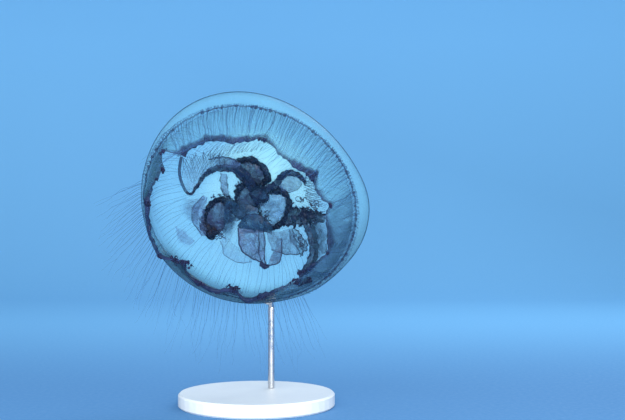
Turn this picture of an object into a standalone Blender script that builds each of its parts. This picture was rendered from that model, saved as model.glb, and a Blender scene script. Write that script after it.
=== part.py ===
"""Moon jellyfish (Aurelia), a still life-size museum model on a plain display stand.

Units are metres and +Z is up.  The origin is the centre of the stand base's underside.
The bell is modelled in its own frame, whose +Z is the bell's axis, pointing from the
mouth to the crown, and whose origin is the centre of the widest ring.  One empty carries
that frame and turns it into the swimming pose: mouth towards -Y and a little down, crown
towards +Y and up.  Azimuths are measured about the bell's axis, right-handed, from the
bell's own +X.
"""
import math
from dataclasses import dataclass

import bmesh
import bpy
from mathutils import Euler, Matrix, Vector

# ---------------------------------------------------------------- driving dimensions
# Pose of the bell.
BELL_CENTRE = Vector((-0.004, -0.030, 0.180))
AXIS_OFF_LEVEL_BACK = math.radians(28.2)   # angle between the bell's axis and +Y
AXIS_LEAN = math.radians(20.5)             # lean of the crown from up towards +X

# Bell: a thick cap of jelly, drawn in at the margin as it is at the end of a stroke.
BELL_RADIUS = 0.100
CROWN_HEIGHT = 0.052
OUT_OF_ROUND = 0.025          # three shallow swells round the bell, as the stroke leaves it
SWELL_AZIMUTH = math.radians(-4.0)
RING_OUTER = 0.0930          # the ring where the tentacles grow
RING_INNER = 0.0906
RING_DROP = 0.0050           # how far the ring lies below the widest level
ROOF_RADIUS = 0.0900
ROOF_HEIGHT = 0.0420
ROOF_BASE = -0.0030
DOME_SEGMENTS = 45
DOME_ROWS_OUT = 9
DOME_ROWS_IN = 8

# Margin: eight lobes between eight sense organs, hanging from the ring to the free edge.
FREE_EDGE_DROP = 0.0310
LOBE_TOP_THICK = 0.0024
LOBE_MID_THICK = 0.0016
EDGE_ROLL_THICK = 0.0024
EDGE_SAG = 0.0022            # how far the free edge is drawn in between its tack points
LOBE_COLUMN = math.radians(2.75)
LOBE_ROWS = 3

# Tentacles.
TENTACLE_LENGTH = 0.065
TENTACLE_SHORTEN = 0.020     # how much shorter the streaming ones are on the far side
TENTACLE_LENGTH_VARY = 0.007
TENTACLE_ROOT_RADIUS = 0.00065
TENTACLE_TIP_RADIUS = 0.00040
TENTACLE_STEPS = 4
TENTACLE_DRIFT = 0.58        # sideways set of the trailing tentacles, along the bell's +X
TENTACLE_TRAIL = 0.53        # how much they trail towards the mouth side
HANGING_LENGTH = 0.050       # those that lie along the near wall

# Sense organs (rhopalia) in their notches.
RHOPALIUM_RADIUS = 0.0019

# Stomach floor and gonads.
STOMACH_RADIUS = 0.0660
STOMACH_EDGE_THICK = 0.0016
STOMACH_MID_THICK = 0.0125
GONAD_TUBE = 0.0030
GONAD_FRILL = 0.0007
GONAD_STEPS = 18
GONAD_SIDES = 6

# Manubrium and mouth arms.
MANUBRIUM_FOOT = Vector((0.0045, -0.0065, 0.0))
ARM_STEPS = 4
ARM_SIDES = 6

# Display stand.
BASE_RADIUS = 0.070
BASE_HEIGHT = 0.012
BASE_CHAMFER = 0.0015
BASE_SEGMENTS = 48
ROD_RADIUS = 0.0030
ROD_SIDES = 16
SADDLE_RADIUS = 0.0070
SADDLE_THICK = 0.0020
CONTACT_AZIMUTH = math.radians(63.8)
CONTACT_HEIGHT = 0.0060      # up the bell's axis from its widest level

GAP = 0.0003                 # clearance between touching solids


@dataclass(frozen=True)
class Lobe:
    """One eighth of the margin: where its sense organ and its middle fold are tacked."""

    azimuth: float           # of the sense organ it starts from, degrees
    reach: float             # radius of the free edge there
    fold_azimuth: float      # of the fold in the lobe's middle, degrees
    fold_reach: float        # radius of the free edge at the fold


# The stroke draws the lobes in unevenly, so each keeps its own width and reach.
LOBES = (
    Lobe(-155.0, 0.0922, -129.0, 0.0788),
    Lobe(-93.0, 0.0800, -56.0, 0.0778),
    Lobe(-34.0, 0.0794, -15.0, 0.0748),
    Lobe(5.0, 0.0790, 30.0, 0.0783),
    Lobe(61.0, 0.0803, 81.0, 0.0690),
    Lobe(92.0, 0.0790, 119.0, 0.0720),
    Lobe(133.0, 0.0824, 154.0, 0.0809),
    Lobe(170.5, 0.0830, 187.0, 0.0796),
)


@dataclass(frozen=True)
class Gonad:
    """A frilled horseshoe under the stomach floor."""

    name: str
    centre: tuple[float, float]
    half_size: tuple[float, float]
    opening: float           # azimuth of the horseshoe's open side, degrees
    gap_angle: float         # how wide the open side is, degrees


GONADS = (
    Gonad("gonad_upper", (-0.0098, -0.0215), (0.0140, 0.0100), 95.0, 60.0),
    Gonad("gonad_right", (0.0222, 0.0050), (0.0110, 0.0180), 190.0, 40.0),
    Gonad("gonad_centre", (-0.0055, 0.0120), (0.0088, 0.0150), -60.0, 60.0),
    Gonad("gonad_left", (-0.0287, 0.0375), (0.0095, 0.0175), -40.0, 60.0),
)


@dataclass(frozen=True)
class MouthArm:
    """A mouth arm: the four handles of its curve, its width along it and its face."""

    name: str
    handles: tuple[tuple[float, float, float], ...]
    half_widths: tuple[float, float, float]  # at root, middle and tip
    half_thick: float
    width_axis: tuple[float, float, float]


MOUTH_ARMS = (
    MouthArm("arm_left", ((-0.0019, -0.0138, 0.0105), (-0.0250, -0.0400, 0.0110),
                          (-0.0440, -0.0180, 0.0040), (-0.0500, 0.0095, -0.0040)),
             (0.0030, 0.0040, 0.0022), 0.0014, (0.20, -0.10, 1.0)),
    MouthArm("arm_upper", ((0.0049, -0.0163, 0.0105), (0.0060, -0.0490, 0.0110),
                           (0.0400, -0.0540, 0.0020), (0.0565, -0.0215, -0.0040)),
             (0.0030, 0.0040, 0.0022), 0.0014, (0.10, 0.20, 1.0)),
    MouthArm("arm_right", ((0.0138, -0.0094, 0.0090), (0.0480, -0.0200, 0.0090),
                           (0.0740, -0.0050, -0.0020), (0.0686, 0.0323, -0.0200)),
             (0.0034, 0.0070, 0.0026), 0.0018, (0.75, -0.45, 0.50)),
    MouthArm("arm_lower", ((0.0079, 0.0027, 0.0075), (0.0145, 0.0200, 0.0050),
                           (0.0180, 0.0380, -0.0100), (0.0307, 0.0388, -0.0240)),
             (0.0070, 0.0220, 0.0024), 0.0013, (0.92, -0.33, 0.20)),
)
ARM_LENGTHS = ("root", "middle", "tip")


# ---------------------------------------------------------------- small helpers
def smoothstep(low, high, x):
    """0 below low, 1 above high, and a smooth ramp between."""
    t = min(1.0, max(0.0, (x - low) / (high - low)))
    return t * t * (3.0 - 2.0 * t)


def polar(radius, azimuth, height):
    """Point from cylindrical coordinates about the bell's axis."""
    return Vector((radius * math.cos(azimuth), radius * math.sin(azimuth), height))


def bell_matrix():
    """Frame of the bell in the world: columns are its X, Y and axis."""
    away = Vector((0.0, 1.0, 0.0))
    lean = Vector((math.sin(AXIS_LEAN), 0.0, math.cos(AXIS_LEAN)))
    tilt = AXIS_OFF_LEVEL_BACK
    axis = math.cos(tilt) * away + math.sin(tilt) * lean
    side = Vector((math.cos(AXIS_LEAN), 0.0, -math.sin(AXIS_LEAN)))
    cross = axis.cross(side)
    matrix = Matrix((side, cross, axis)).transposed().to_4x4()
    matrix.translation = BELL_CENTRE
    return matrix


def material(name, colour, roughness, metallic=0.0, alpha=1.0):
    """A Principled material."""
    mat = bpy.data.materials.new(name)
    mat.use_nodes = True
    bsdf = mat.node_tree.nodes["Principled BSDF"]
    bsdf.inputs["Base Color"].default_value = (*colour, 1.0)
    bsdf.inputs["Roughness"].default_value = roughness
    bsdf.inputs["Metallic"].default_value = metallic
    bsdf.inputs["Alpha"].default_value = alpha
    mat.diffuse_color = (*colour, 1.0)
    return mat


def add_object(name, bm, mat, parent=None):
    """Turn a bmesh into a named object with outward normals and its material."""
    bmesh.ops.recalc_face_normals(bm, faces=bm.faces)
    mesh = bpy.data.meshes.new(name)
    bm.to_mesh(mesh)
    bm.free()
    mesh.materials.append(mat)
    mesh.shade_smooth()
    obj = bpy.data.objects.new(name, mesh)
    obj.parent = parent
    bpy.context.scene.collection.objects.link(obj)
    return obj


def add_ring(bm, points):
    """Add a ring of vertices."""
    return [bm.verts.new(point) for point in points]


def bridge(bm, ring_a, ring_b):
    """Close the strip between two rings of equal count."""
    count = len(ring_a)
    for i in range(count):
        j = (i + 1) % count
        bm.faces.new((ring_a[i], ring_a[j], ring_b[j], ring_b[i]))


def loft(bm, rings):
    """A closed skin through rings of equal count, capped at both ends."""
    made = [add_ring(bm, ring) for ring in rings]
    for ring_a, ring_b in zip(made, made[1:]):
        bridge(bm, ring_a, ring_b)
    bm.faces.new(made[0][::-1])
    bm.faces.new(made[-1])


def revolve(bm, profile, segments):
    """Turn a profile about Z; its first and last points lie on the axis.

    A point is a radius, a height and, for the bell, the share of its swells it takes.
    """
    first = bm.verts.new((0.0, 0.0, profile[0][1]))
    last = bm.verts.new((0.0, 0.0, profile[-1][1]))
    rings = []
    turns = [2.0 * math.pi * k / segments for k in range(segments)]
    for radius, height, *share in profile[1:-1]:
        out = share[0] if share else 0.0
        rings.append(add_ring(bm, [polar(radius * (1.0 + out * swell(turn)), turn, height)
                                   for turn in turns]))
    for ring_a, ring_b in zip(rings, rings[1:]):
        bridge(bm, ring_a, ring_b)
    for i in range(segments):
        j = (i + 1) % segments
        bm.faces.new((first, rings[0][j], rings[0][i]))
        bm.faces.new((last, rings[-1][i], rings[-1][j]))


def frame_across(tangent, hint):
    """Two unit vectors across a tangent, the first as near the hint as can be."""
    wide = (hint - tangent * hint.dot(tangent)).normalized()
    return wide, tangent.cross(wide).normalized()


# ---------------------------------------------------------------- bell
def crown_height(radius):
    """Height of the bell's outer skin over the widest level."""
    inside = max(0.0, 1.0 - (radius / BELL_RADIUS) ** 2)
    return CROWN_HEIGHT * math.sqrt(inside)


def roof_height(radius):
    """Height of the bell's inner skin, the roof of its hollow."""
    inside = max(0.0, 1.0 - (radius / ROOF_RADIUS) ** 2)
    return ROOF_BASE + ROOF_HEIGHT * math.sqrt(inside)


def swell(azimuth):
    """Share by which the bell's skin stands out of round at an azimuth."""
    return OUT_OF_ROUND * math.cos(3.0 * (azimuth - SWELL_AZIMUTH))


def build_bell_dome(parent):
    """The thick cap of jelly, from the crown round the shoulder to the ring."""
    profile = [(0.0, CROWN_HEIGHT, 0.0)]
    for k in range(1, DOME_ROWS_OUT + 1):
        turn = 0.5 * math.pi * (1.0 - k / DOME_ROWS_OUT)
        radius = BELL_RADIUS * math.cos(turn)
        profile.append((radius, CROWN_HEIGHT * math.sin(turn), radius / BELL_RADIUS))
    shoulder = BELL_RADIUS - RING_OUTER - 0.0007
    for k in range(1, 4):
        turn = 0.5 * math.pi * k / 3
        radius = RING_OUTER + 0.0007 + shoulder * math.cos(turn)
        profile.append((radius, -RING_DROP * math.sin(turn), math.cos(turn)))
    profile.append((RING_INNER - 0.0004, -RING_DROP, 0.0))
    for k in range(1, DOME_ROWS_IN):
        turn = 0.5 * math.pi * (k - 0.5) / DOME_ROWS_IN
        profile.append((ROOF_RADIUS * math.cos(turn),
                        ROOF_BASE + ROOF_HEIGHT * math.sin(turn), 0.0))
    profile.append((0.0, ROOF_BASE + ROOF_HEIGHT, 0.0))
    bm = bmesh.new()
    revolve(bm, profile, DOME_SEGMENTS)
    mat = material("bell_jelly", (0.30, 0.52, 0.78), 0.18, alpha=0.45)
    return add_object("bell_dome", bm, mat, parent)


# ---------------------------------------------------------------- margin
def tack_points():
    """Azimuth and reach of all sixteen tack points, in order round the margin."""
    points = []
    for lobe in LOBES:
        points.append((math.radians(lobe.azimuth), lobe.reach))
        points.append((math.radians(lobe.fold_azimuth), lobe.fold_reach))
    return points


def edge_reach(azimuth):
    """Radius of the free edge: taut between tack points, sagging inwards."""
    points = tack_points()
    start = points[0][0]
    while azimuth < start:
        azimuth += 2.0 * math.pi
    while azimuth >= start + 2.0 * math.pi:
        azimuth -= 2.0 * math.pi
    points.append((start + 2.0 * math.pi, points[0][1]))
    for (low, reach_low), (high, reach_high) in zip(points, points[1:]):
        if low <= azimuth <= high:
            t = (azimuth - low) / (high - low)
            return reach_low * (1.0 - t) + reach_high * t - EDGE_SAG * math.sin(math.pi * t)
    return points[0][1]


def lobe_point(azimuth, down, inset):
    """Point on a lobe: down runs 0 at the ring to 1 at the free edge."""
    top = RING_OUTER
    reach = edge_reach(azimuth)
    bulge = 0.0016 * math.sin(math.pi * down)
    radius = top + (reach - top) * down ** 1.15 + bulge - inset
    height = -RING_DROP - GAP - (FREE_EDGE_DROP - RING_DROP - GAP) * down
    return polar(radius, azimuth, height)


def lobe_thickness(down):
    """Thickness of the margin: firm at the ring, thin, then a rolled edge."""
    thin = LOBE_TOP_THICK + (LOBE_MID_THICK - LOBE_TOP_THICK) * smoothstep(0.0, 0.5, down)
    return thin + (EDGE_ROLL_THICK - LOBE_MID_THICK) * smoothstep(0.65, 1.0, down)


def trailing_weight(azimuth):
    """1 where tentacles stream outwards, 0 where they lie along the near wall."""
    degrees = math.degrees(azimuth) % 360.0
    return smoothstep(22.0, 52.0, degrees) * (1.0 - smoothstep(172.0, 198.0, degrees))


def tentacle_path(root, normal, azimuth):
    """Centre points of a tentacle, from its root on the margin to its tip."""
    radial = polar(1.0, azimuth, 0.0)
    drop = FREE_EDGE_DROP - RING_DROP
    lean_in = (RING_OUTER - edge_reach(azimuth)) / drop
    stream = Vector((math.cos(azimuth) + TENTACLE_DRIFT, math.sin(azimuth) + 0.09,
                     -TENTACLE_TRAIL)).normalized()
    hang = (Vector((0.0, 0.0, -1.0)) - radial * max(0.0, lean_in - 0.10)).normalized()
    weight = trailing_weight(azimuth)
    heading = (stream * weight + hang * (1.0 - weight)).normalized()
    vary = TENTACLE_LENGTH_VARY * math.sin(7.0 * azimuth) * math.sin(3.0 * azimuth + 1.0)
    streaming = TENTACLE_LENGTH - TENTACLE_SHORTEN * smoothstep(
        95.0, 175.0, math.degrees(azimuth) % 360.0)
    length = HANGING_LENGTH + (streaming - HANGING_LENGTH) * weight + vary
    across = heading.cross(radial).normalized()
    curl = 0.0035 * math.sin(5.0 * azimuth + 0.7)
    stand_off = root + normal * 0.0024
    points = [root + normal * 0.0010]
    for k in range(TENTACLE_STEPS):
        t = k / (TENTACLE_STEPS - 1)
        points.append(stand_off + heading * (length * (0.04 + 0.96 * t))
                      + across * (curl * t * t) + normal * (0.0012 * (1.0 - (1.0 - t) ** 3)))
    return points


def grow_tentacle(bm, quad, azimuth):
    """Draw one tentacle out of a quad of the lobe, in place of that face."""
    corners = [vert.co.copy() for vert in quad]
    root = sum(corners, Vector()) / 4.0
    normal = (corners[2] - corners[0]).cross(corners[3] - corners[1]).normalized()
    if normal.dot(polar(1.0, azimuth, 0.0)) < 0.0:
        normal.negate()
    path = tentacle_path(root, normal, azimuth)
    first = (corners[1] - corners[0]).normalized()
    second = normal.cross(first)
    signs = [(math.copysign(1.0, (c - root).dot(first)),
              math.copysign(1.0, (c - root).dot(second))) for c in corners]
    tangent = normal
    previous = quad
    for k, centre in enumerate(path):
        ahead = path[min(k + 1, len(path) - 1)] - path[max(k - 1, 0)]
        turn = tangent.rotation_difference(ahead.normalized()) if k else None
        if turn is not None:
            first = turn @ first
            second = turn @ second
            tangent = ahead.normalized()
        t = k / (len(path) - 1)
        half = TENTACLE_ROOT_RADIUS + (TENTACLE_TIP_RADIUS - TENTACLE_ROOT_RADIUS) * t
        ring = add_ring(bm, [centre + (first * sx + second * sy) * half for sx, sy in signs])
        bridge(bm, previous, ring)
        previous = ring
    bm.faces.new(previous)


def build_margin_lobe(index, parent, mat):
    """One lobe of the margin with the tentacles that grow from its ring."""
    lobe = LOBES[index]
    following = LOBES[(index + 1) % len(LOBES)]
    start = math.radians(lobe.azimuth)
    stop = math.radians(following.azimuth)
    if stop < start:
        stop += 2.0 * math.pi
    side_gap = 0.5 * GAP / 0.070
    start += side_gap
    stop -= side_gap
    columns = 2 * int(round((stop - start) / LOBE_COLUMN / 2.0)) + 1
    bm = bmesh.new()
    outer = []
    inner = []
    for i in range(columns + 1):
        azimuth = start + (stop - start) * i / columns
        out_column = []
        in_column = []
        downs = [0.0, 0.10] + [0.10 + 0.90 * k / (LOBE_ROWS - 1) for k in range(1, LOBE_ROWS)]
        for down in downs:
            out_column.append(bm.verts.new(lobe_point(azimuth, down, 0.0)))
            inset = lobe_thickness(down)
            in_column.append(bm.verts.new(lobe_point(azimuth, down, inset)))
        outer.append(out_column)
        inner.append(in_column)
    rows = len(outer[0])
    for i in range(columns):
        for j in range(rows - 1):
            quad = (outer[i][j], outer[i][j + 1], outer[i + 1][j + 1], outer[i + 1][j])
            if j == 0 and i % 2 == 1:
                middle = start + (stop - start) * (i + 0.5) / columns
                grow_tentacle(bm, list(quad), middle)
            else:
                bm.faces.new(quad)
            bm.faces.new((inner[i][j], inner[i + 1][j], inner[i + 1][j + 1], inner[i][j + 1]))
        bm.faces.new((outer[i][0], outer[i + 1][0], inner[i + 1][0], inner[i][0]))
        bm.faces.new((outer[i][-1], inner[i][-1], inner[i + 1][-1], outer[i + 1][-1]))
    for column, other in ((outer[0], inner[0]), (outer[-1], inner[-1])):
        for j in range(rows - 1):
            bm.faces.new((column[j], other[j], other[j + 1], column[j + 1]))
    return add_object(f"margin_lobe_{index + 1}", bm, mat, parent)


def build_rhopalium(index, parent, mat):
    """A sense organ in the notch between two lobes, just under the free edge."""
    lobe = LOBES[index]
    radius = lobe.reach - 0.5 * EDGE_ROLL_THICK
    height = -FREE_EDGE_DROP - GAP - RHOPALIUM_RADIUS
    bm = bmesh.new()
    bmesh.ops.create_icosphere(bm, subdivisions=1, radius=RHOPALIUM_RADIUS)
    centre = polar(radius, math.radians(lobe.azimuth), height)
    bmesh.ops.translate(bm, verts=bm.verts, vec=centre)
    return add_object(f"rhopalium_{index + 1}", bm, mat, parent)


# ---------------------------------------------------------------- organs under the roof
def stomach_underside(radius):
    """Height of the stomach floor that hangs under the roof."""
    share = max(0.0, 1.0 - (radius / STOMACH_RADIUS) ** 2)
    thick = STOMACH_EDGE_THICK + (STOMACH_MID_THICK - STOMACH_EDGE_THICK) * share
    return roof_height(radius) - 4.0 * GAP - thick


def build_stomach(parent):
    """The lens of jelly under the roof that carries the gonads and the manubrium."""
    rows = 6
    profile = [(0.0, roof_height(0.0) - 4.0 * GAP)]
    for k in range(1, rows + 1):
        radius = STOMACH_RADIUS * k / rows
        profile.append((radius, roof_height(radius) - 4.0 * GAP))
    for k in range(rows, 0, -1):
        radius = STOMACH_RADIUS * (k - 0.15) / rows
        profile.append((radius, stomach_underside(radius)))
    profile.append((0.0, stomach_underside(0.0)))
    bm = bmesh.new()
    revolve(bm, profile, 24)
    mat = material("stomach_jelly", (0.33, 0.48, 0.68), 0.25, alpha=0.4)
    return add_object("stomach", bm, mat, parent)


def build_gonad(gonad, parent, mat):
    """A frilled horseshoe tube lying against the stomach floor."""
    half_open = math.radians(gonad.gap_angle) * 0.5
    start = math.radians(gonad.opening) + half_open
    span = 2.0 * math.pi - 2.0 * half_open
    rings = []
    for k in range(GONAD_STEPS + 1):
        t = k / GONAD_STEPS
        turn = start + span * t
        ripple = 1.0 + 0.05 * math.sin(6.0 * turn)
        x = gonad.centre[0] + gonad.half_size[0] * ripple * math.cos(turn)
        y = gonad.centre[1] + gonad.half_size[1] * ripple * math.sin(turn)
        tube = GONAD_TUBE + GONAD_FRILL * math.sin(9.0 * turn)
        tube *= 0.45 + 0.55 * min(1.0, 6.0 * t, 6.0 * (1.0 - t))
        ceiling = stomach_underside(math.hypot(x, y) + tube)
        centre = Vector((x, y, ceiling - GAP - tube - 0.0006))
        tangent = Vector((-gonad.half_size[0] * math.sin(turn),
                          gonad.half_size[1] * math.cos(turn), 0.0)).normalized()
        side, up = frame_across(tangent, tangent.cross(Vector((0.0, 0.0, 1.0))))
        rings.append([centre + (side * math.cos(a) + up * math.sin(a)) * tube
                      for a in (2.0 * math.pi * m / GONAD_SIDES for m in range(GONAD_SIDES))])
    bm = bmesh.new()
    loft(bm, rings)
    return add_object(gonad.name, bm, mat, parent)


def build_manubrium(parent, mat):
    """The short four-lipped mouth column under the stomach."""
    top = stomach_underside(MANUBRIUM_FOOT.length + 0.004) - GAP
    heights = (top, 0.0170, 0.0135, 0.0090, 0.0045, 0.0020)
    radii = (0.0034, 0.0035, 0.0070, 0.0084, 0.0074, 0.0050)
    rings = []
    for height, radius in zip(heights, radii):
        ring = []
        for k in range(16):
            turn = 2.0 * math.pi * k / 16
            reach = radius * (1.0 + 0.10 * math.cos(4.0 * turn))
            ring.append(MANUBRIUM_FOOT + polar(reach, turn, height))
        rings.append(ring)
    bm = bmesh.new()
    loft(bm, rings)
    return add_object("manubrium", bm, mat, parent)


def arm_point(arm, t):
    """Point on a mouth arm's curve."""
    p0, p1, p2, p3 = (Vector(handle) for handle in arm.handles)
    s = 1.0 - t
    return p0 * s ** 3 + p1 * (3.0 * s * s * t) + p2 * (3.0 * s * t * t) + p3 * t ** 3


def arm_half_width(arm, t):
    """Half the width of a mouth arm along its curve."""
    root, middle, tip = arm.half_widths
    return root * (1.0 - t) ** 2 + middle * 2.0 * t * (1.0 - t) * 1.35 + tip * t ** 2


def build_arm_lengths(arm, parent, mat):
    """A mouth arm as three lengths that meet end to end."""
    total = sum((arm_point(arm, (k + 1) / 40) - arm_point(arm, k / 40)).length
                for k in range(40))
    half_gap = 0.6 * GAP / total
    made = []
    for index, label in enumerate(ARM_LENGTHS):
        low = index / 3 + (half_gap if index else 0.0)
        high = (index + 1) / 3 - (half_gap if index < 2 else 0.0)
        rings = []
        for k in range(ARM_STEPS + 1):
            t = low + (high - low) * k / ARM_STEPS
            tangent = (arm_point(arm, min(1.0, t + 0.01))
                       - arm_point(arm, max(0.0, t - 0.01))).normalized()
            wide, thin = frame_across(tangent, Vector(arm.width_axis))
            half_width = arm_half_width(arm, t)
            ring = []
            for m in range(ARM_SIDES):
                a = 2.0 * math.pi * m / ARM_SIDES
                ring.append(arm_point(arm, t) + wide * (half_width * math.cos(a))
                            + thin * (arm.half_thick * math.sin(a)))
            rings.append(ring)
        bm = bmesh.new()
        loft(bm, rings)
        made.append(add_object(f"{arm.name}_{label}", bm, mat, parent))
    return made


# ---------------------------------------------------------------- display stand
def build_stand_base():
    """The flat round base."""
    mat = material("stand_base_satin", (0.80, 0.80, 0.78), 0.45)
    profile = ((0.0, 0.0), (BASE_RADIUS - BASE_CHAMFER, 0.0), (BASE_RADIUS, BASE_CHAMFER),
               (BASE_RADIUS, BASE_HEIGHT - BASE_CHAMFER),
               (BASE_RADIUS - BASE_CHAMFER, BASE_HEIGHT), (0.0, BASE_HEIGHT))
    bm = bmesh.new()
    revolve(bm, profile, BASE_SEGMENTS)
    return add_object("stand_base", bm, mat)


def build_stand_rod():
    """The rod, bent at its head to meet the bell square on with a small saddle."""
    pose = bell_matrix()
    radius = BELL_RADIUS * math.sqrt(1.0 - (CONTACT_HEIGHT / CROWN_HEIGHT) ** 2)
    radius *= 1.0 + swell(CONTACT_AZIMUTH)
    contact = pose @ polar(radius, CONTACT_AZIMUTH, CONTACT_HEIGHT)
    slope = polar(radius / BELL_RADIUS ** 2, CONTACT_AZIMUTH, CONTACT_HEIGHT / CROWN_HEIGHT ** 2)
    outward = (pose.to_3x3() @ slope).normalized()
    face = contact + outward * (GAP * 1.2)
    neck = face + outward * 0.0110
    up = Vector((0.0, 0.0, 1.0))
    foot = Vector((neck.x, neck.y, BASE_HEIGHT + GAP))
    bend = neck - up * 0.0020
    stations = [
        (foot, up, ROD_RADIUS),
        (bend - up * 0.0020, up, ROD_RADIUS),
        (neck, (up - outward).normalized(), ROD_RADIUS),
        (neck - outward * 0.0035, -outward, ROD_RADIUS),
        (face + outward * (SADDLE_THICK + 0.0010), -outward, ROD_RADIUS),
        (face + outward * SADDLE_THICK, -outward, SADDLE_RADIUS),
        (face, -outward, SADDLE_RADIUS),
    ]
    rings = []
    for centre, tangent, size in stations:
        side, other = frame_across(tangent, Vector((1.0, 0.0, 0.0)))
        rings.append([centre + (side * math.cos(a) + other * math.sin(a)) * size
                      for a in (2.0 * math.pi * k / ROD_SIDES for k in range(ROD_SIDES))])
    bm = bmesh.new()
    loft(bm, rings)
    mat = material("stand_rod_steel", (0.62, 0.63, 0.65), 0.32, metallic=1.0)
    return add_object("stand_rod", bm, mat)


# ---------------------------------------------------------------- the whole model
def main():
    """Build every sub-part in order."""
    for obj in list(bpy.data.objects):
        bpy.data.objects.remove(obj)
    carrier = bpy.data.objects.new("bell_frame", None)
    bpy.context.scene.collection.objects.link(carrier)
    pose = bell_matrix()
    carrier.location = pose.translation
    carrier.rotation_euler = pose.to_euler()
    build_bell_dome(carrier)
    margin = material("margin_flesh", (0.26, 0.40, 0.62), 0.3, alpha=0.6)
    for index in range(len(LOBES)):
        build_margin_lobe(index, carrier, margin)
    sense = material("sense_organ_dark", (0.05, 0.04, 0.10), 0.4)
    for index in range(len(LOBES)):
        build_rhopalium(index, carrier, sense)
    build_stomach(carrier)
    gonads = material("gonad_dark", (0.05, 0.05, 0.09), 0.45)
    for gonad in GONADS:
        build_gonad(gonad, carrier, gonads)
    mouth = material("mouth_flesh", (0.16, 0.22, 0.36), 0.4)
    build_manubrium(carrier, mouth)
    for arm in MOUTH_ARMS:
        build_arm_lengths(arm, carrier, mouth)
    build_stand_base()
    build_stand_rod()
    bpy.context.view_layer.update()


main()
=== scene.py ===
"""Moon jellyfish on its display stand: the finished surfaces of a life-size museum model.

Lengths are metres and +Z is up.  The bell keeps a frame of its own: its Z runs from the
mouth to the crown and azimuths are counted about it.  One clear skin runs over the crown,
round the shoulder, down the lobes of the margin, round their free edge and back up under
the roof.  What repeats, such as feelers, canals and beads, is drawn by node trees.
"""

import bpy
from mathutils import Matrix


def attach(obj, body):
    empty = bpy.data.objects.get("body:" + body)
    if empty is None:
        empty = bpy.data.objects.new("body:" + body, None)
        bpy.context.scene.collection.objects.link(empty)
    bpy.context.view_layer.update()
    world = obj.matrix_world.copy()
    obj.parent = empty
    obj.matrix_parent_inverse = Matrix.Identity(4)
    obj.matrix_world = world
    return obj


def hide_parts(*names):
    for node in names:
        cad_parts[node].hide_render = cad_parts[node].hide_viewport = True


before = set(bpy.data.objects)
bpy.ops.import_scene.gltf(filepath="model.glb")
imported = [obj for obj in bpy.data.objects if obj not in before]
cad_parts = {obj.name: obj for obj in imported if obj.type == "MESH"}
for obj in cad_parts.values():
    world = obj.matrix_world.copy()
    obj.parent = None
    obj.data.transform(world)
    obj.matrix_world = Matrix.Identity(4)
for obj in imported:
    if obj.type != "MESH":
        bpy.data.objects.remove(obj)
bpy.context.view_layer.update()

import logging
import math
from dataclasses import dataclass, field
from enum import Enum
from typing import Sequence

import bmesh
import bpy
import numpy as np
from mathutils import Vector, noise

LOG = logging.getLogger("moon_jellyfish")
NOISE_SEED = 4
MILLI = 0.001
TURN = 2.0 * math.pi
QUARTER = 0.5 * math.pi
UP = np.array((0.0, 0.0, 1.0))
Array = np.ndarray
Number = float | np.ndarray
Dice = np.random.Generator
Colour = tuple[float, float, float]
Span = tuple[float, float]
Stretch = tuple[float, float, float, float]
Waves = Sequence[tuple[float, float, float]]
Point = tuple[float, float, float]
Curve = tuple[Point, ...]
Strand = tuple[Array, float]
Socket = bpy.types.NodeSocket
Piece = bpy.types.Object
Material = bpy.types.Material


class Slot(Enum):
    """Names of the record's material slots."""

    JELLY = "bell_jelly"
    MARGIN = "margin_flesh"
    SENSE = "sense_organ"
    STOMACH = "stomach_jelly"
    GONAD = "gonad"
    MOUTH = "mouth_flesh"


class Seed(Enum):
    """The fixed seed of everything that is scattered."""

    FEELERS = 5
    ROOF = 11
    BAND = 12
    BULBS = 13
    ORGANS = 17
    FRILLS = 18
    FILAMENTS = 21
    LACE = 31
    CURLS = 37

    def dice(self) -> Dice:
        """A fresh source of this seed's draws."""
        return np.random.default_rng(self.value)


# ------------------------------------------------------------------ small sums
def mix(first: Sequence[float] | Array, second: Sequence[float] | Array, share: Number) -> Array:
    """Blend from the first to the second by a share."""
    return np.asarray(first) * (1.0 - share) + np.asarray(second) * share


def unit(vectors: Array) -> Array:
    """Vectors brought to length 1."""
    return vectors / np.maximum(np.linalg.norm(vectors, axis=-1, keepdims=True), 1e-12)


def ramp(low: float, high: float, value: Number) -> Array:
    """0 below low, 1 above high, smooth between."""
    share = np.clip((np.asarray(value, dtype=float) - low) / (high - low), 0.0, 1.0)
    return share * share * (3.0 - 2.0 * share)


def between(value: Number, start: float, full: float, wane: float, end: float) -> Array:
    """0 outside start and end, 1 from full to wane, smooth between."""
    return ramp(start, full, value) * (1.0 - ramp(wane, end, value))


def bump(value: Array, centre: float, width: float) -> Array:
    """A smooth hump, 1 at its centre."""
    return np.exp(-((value - centre) / width) ** 2)


def ripple(azimuth: Array, waves: Waves) -> Array:
    """Sum of sine waves given as size, count and phase."""
    return sum(size * np.sin(count * azimuth + phase) for size, count, phase in waves)


def circle(count: int) -> Array:
    """Even angles once round, the first not repeated."""
    return np.linspace(0.0, TURN, count, endpoint=False)


def degrees_from(azimuth: Number, origin: float = 0.0) -> Array:
    """Angle from an origin in degrees, -180 to 180."""
    return (np.degrees(azimuth) - origin + 180.0) % 360.0 - 180.0


def polar(radius: Number, azimuth: Number, height: Number) -> Array:
    """Points from cylindrical coordinates, stacked on the last axis."""
    radius, azimuth, height = np.broadcast_arrays(radius, azimuth, height)
    return np.stack((radius * np.cos(azimuth), radius * np.sin(azimuth), height), axis=-1)


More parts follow.
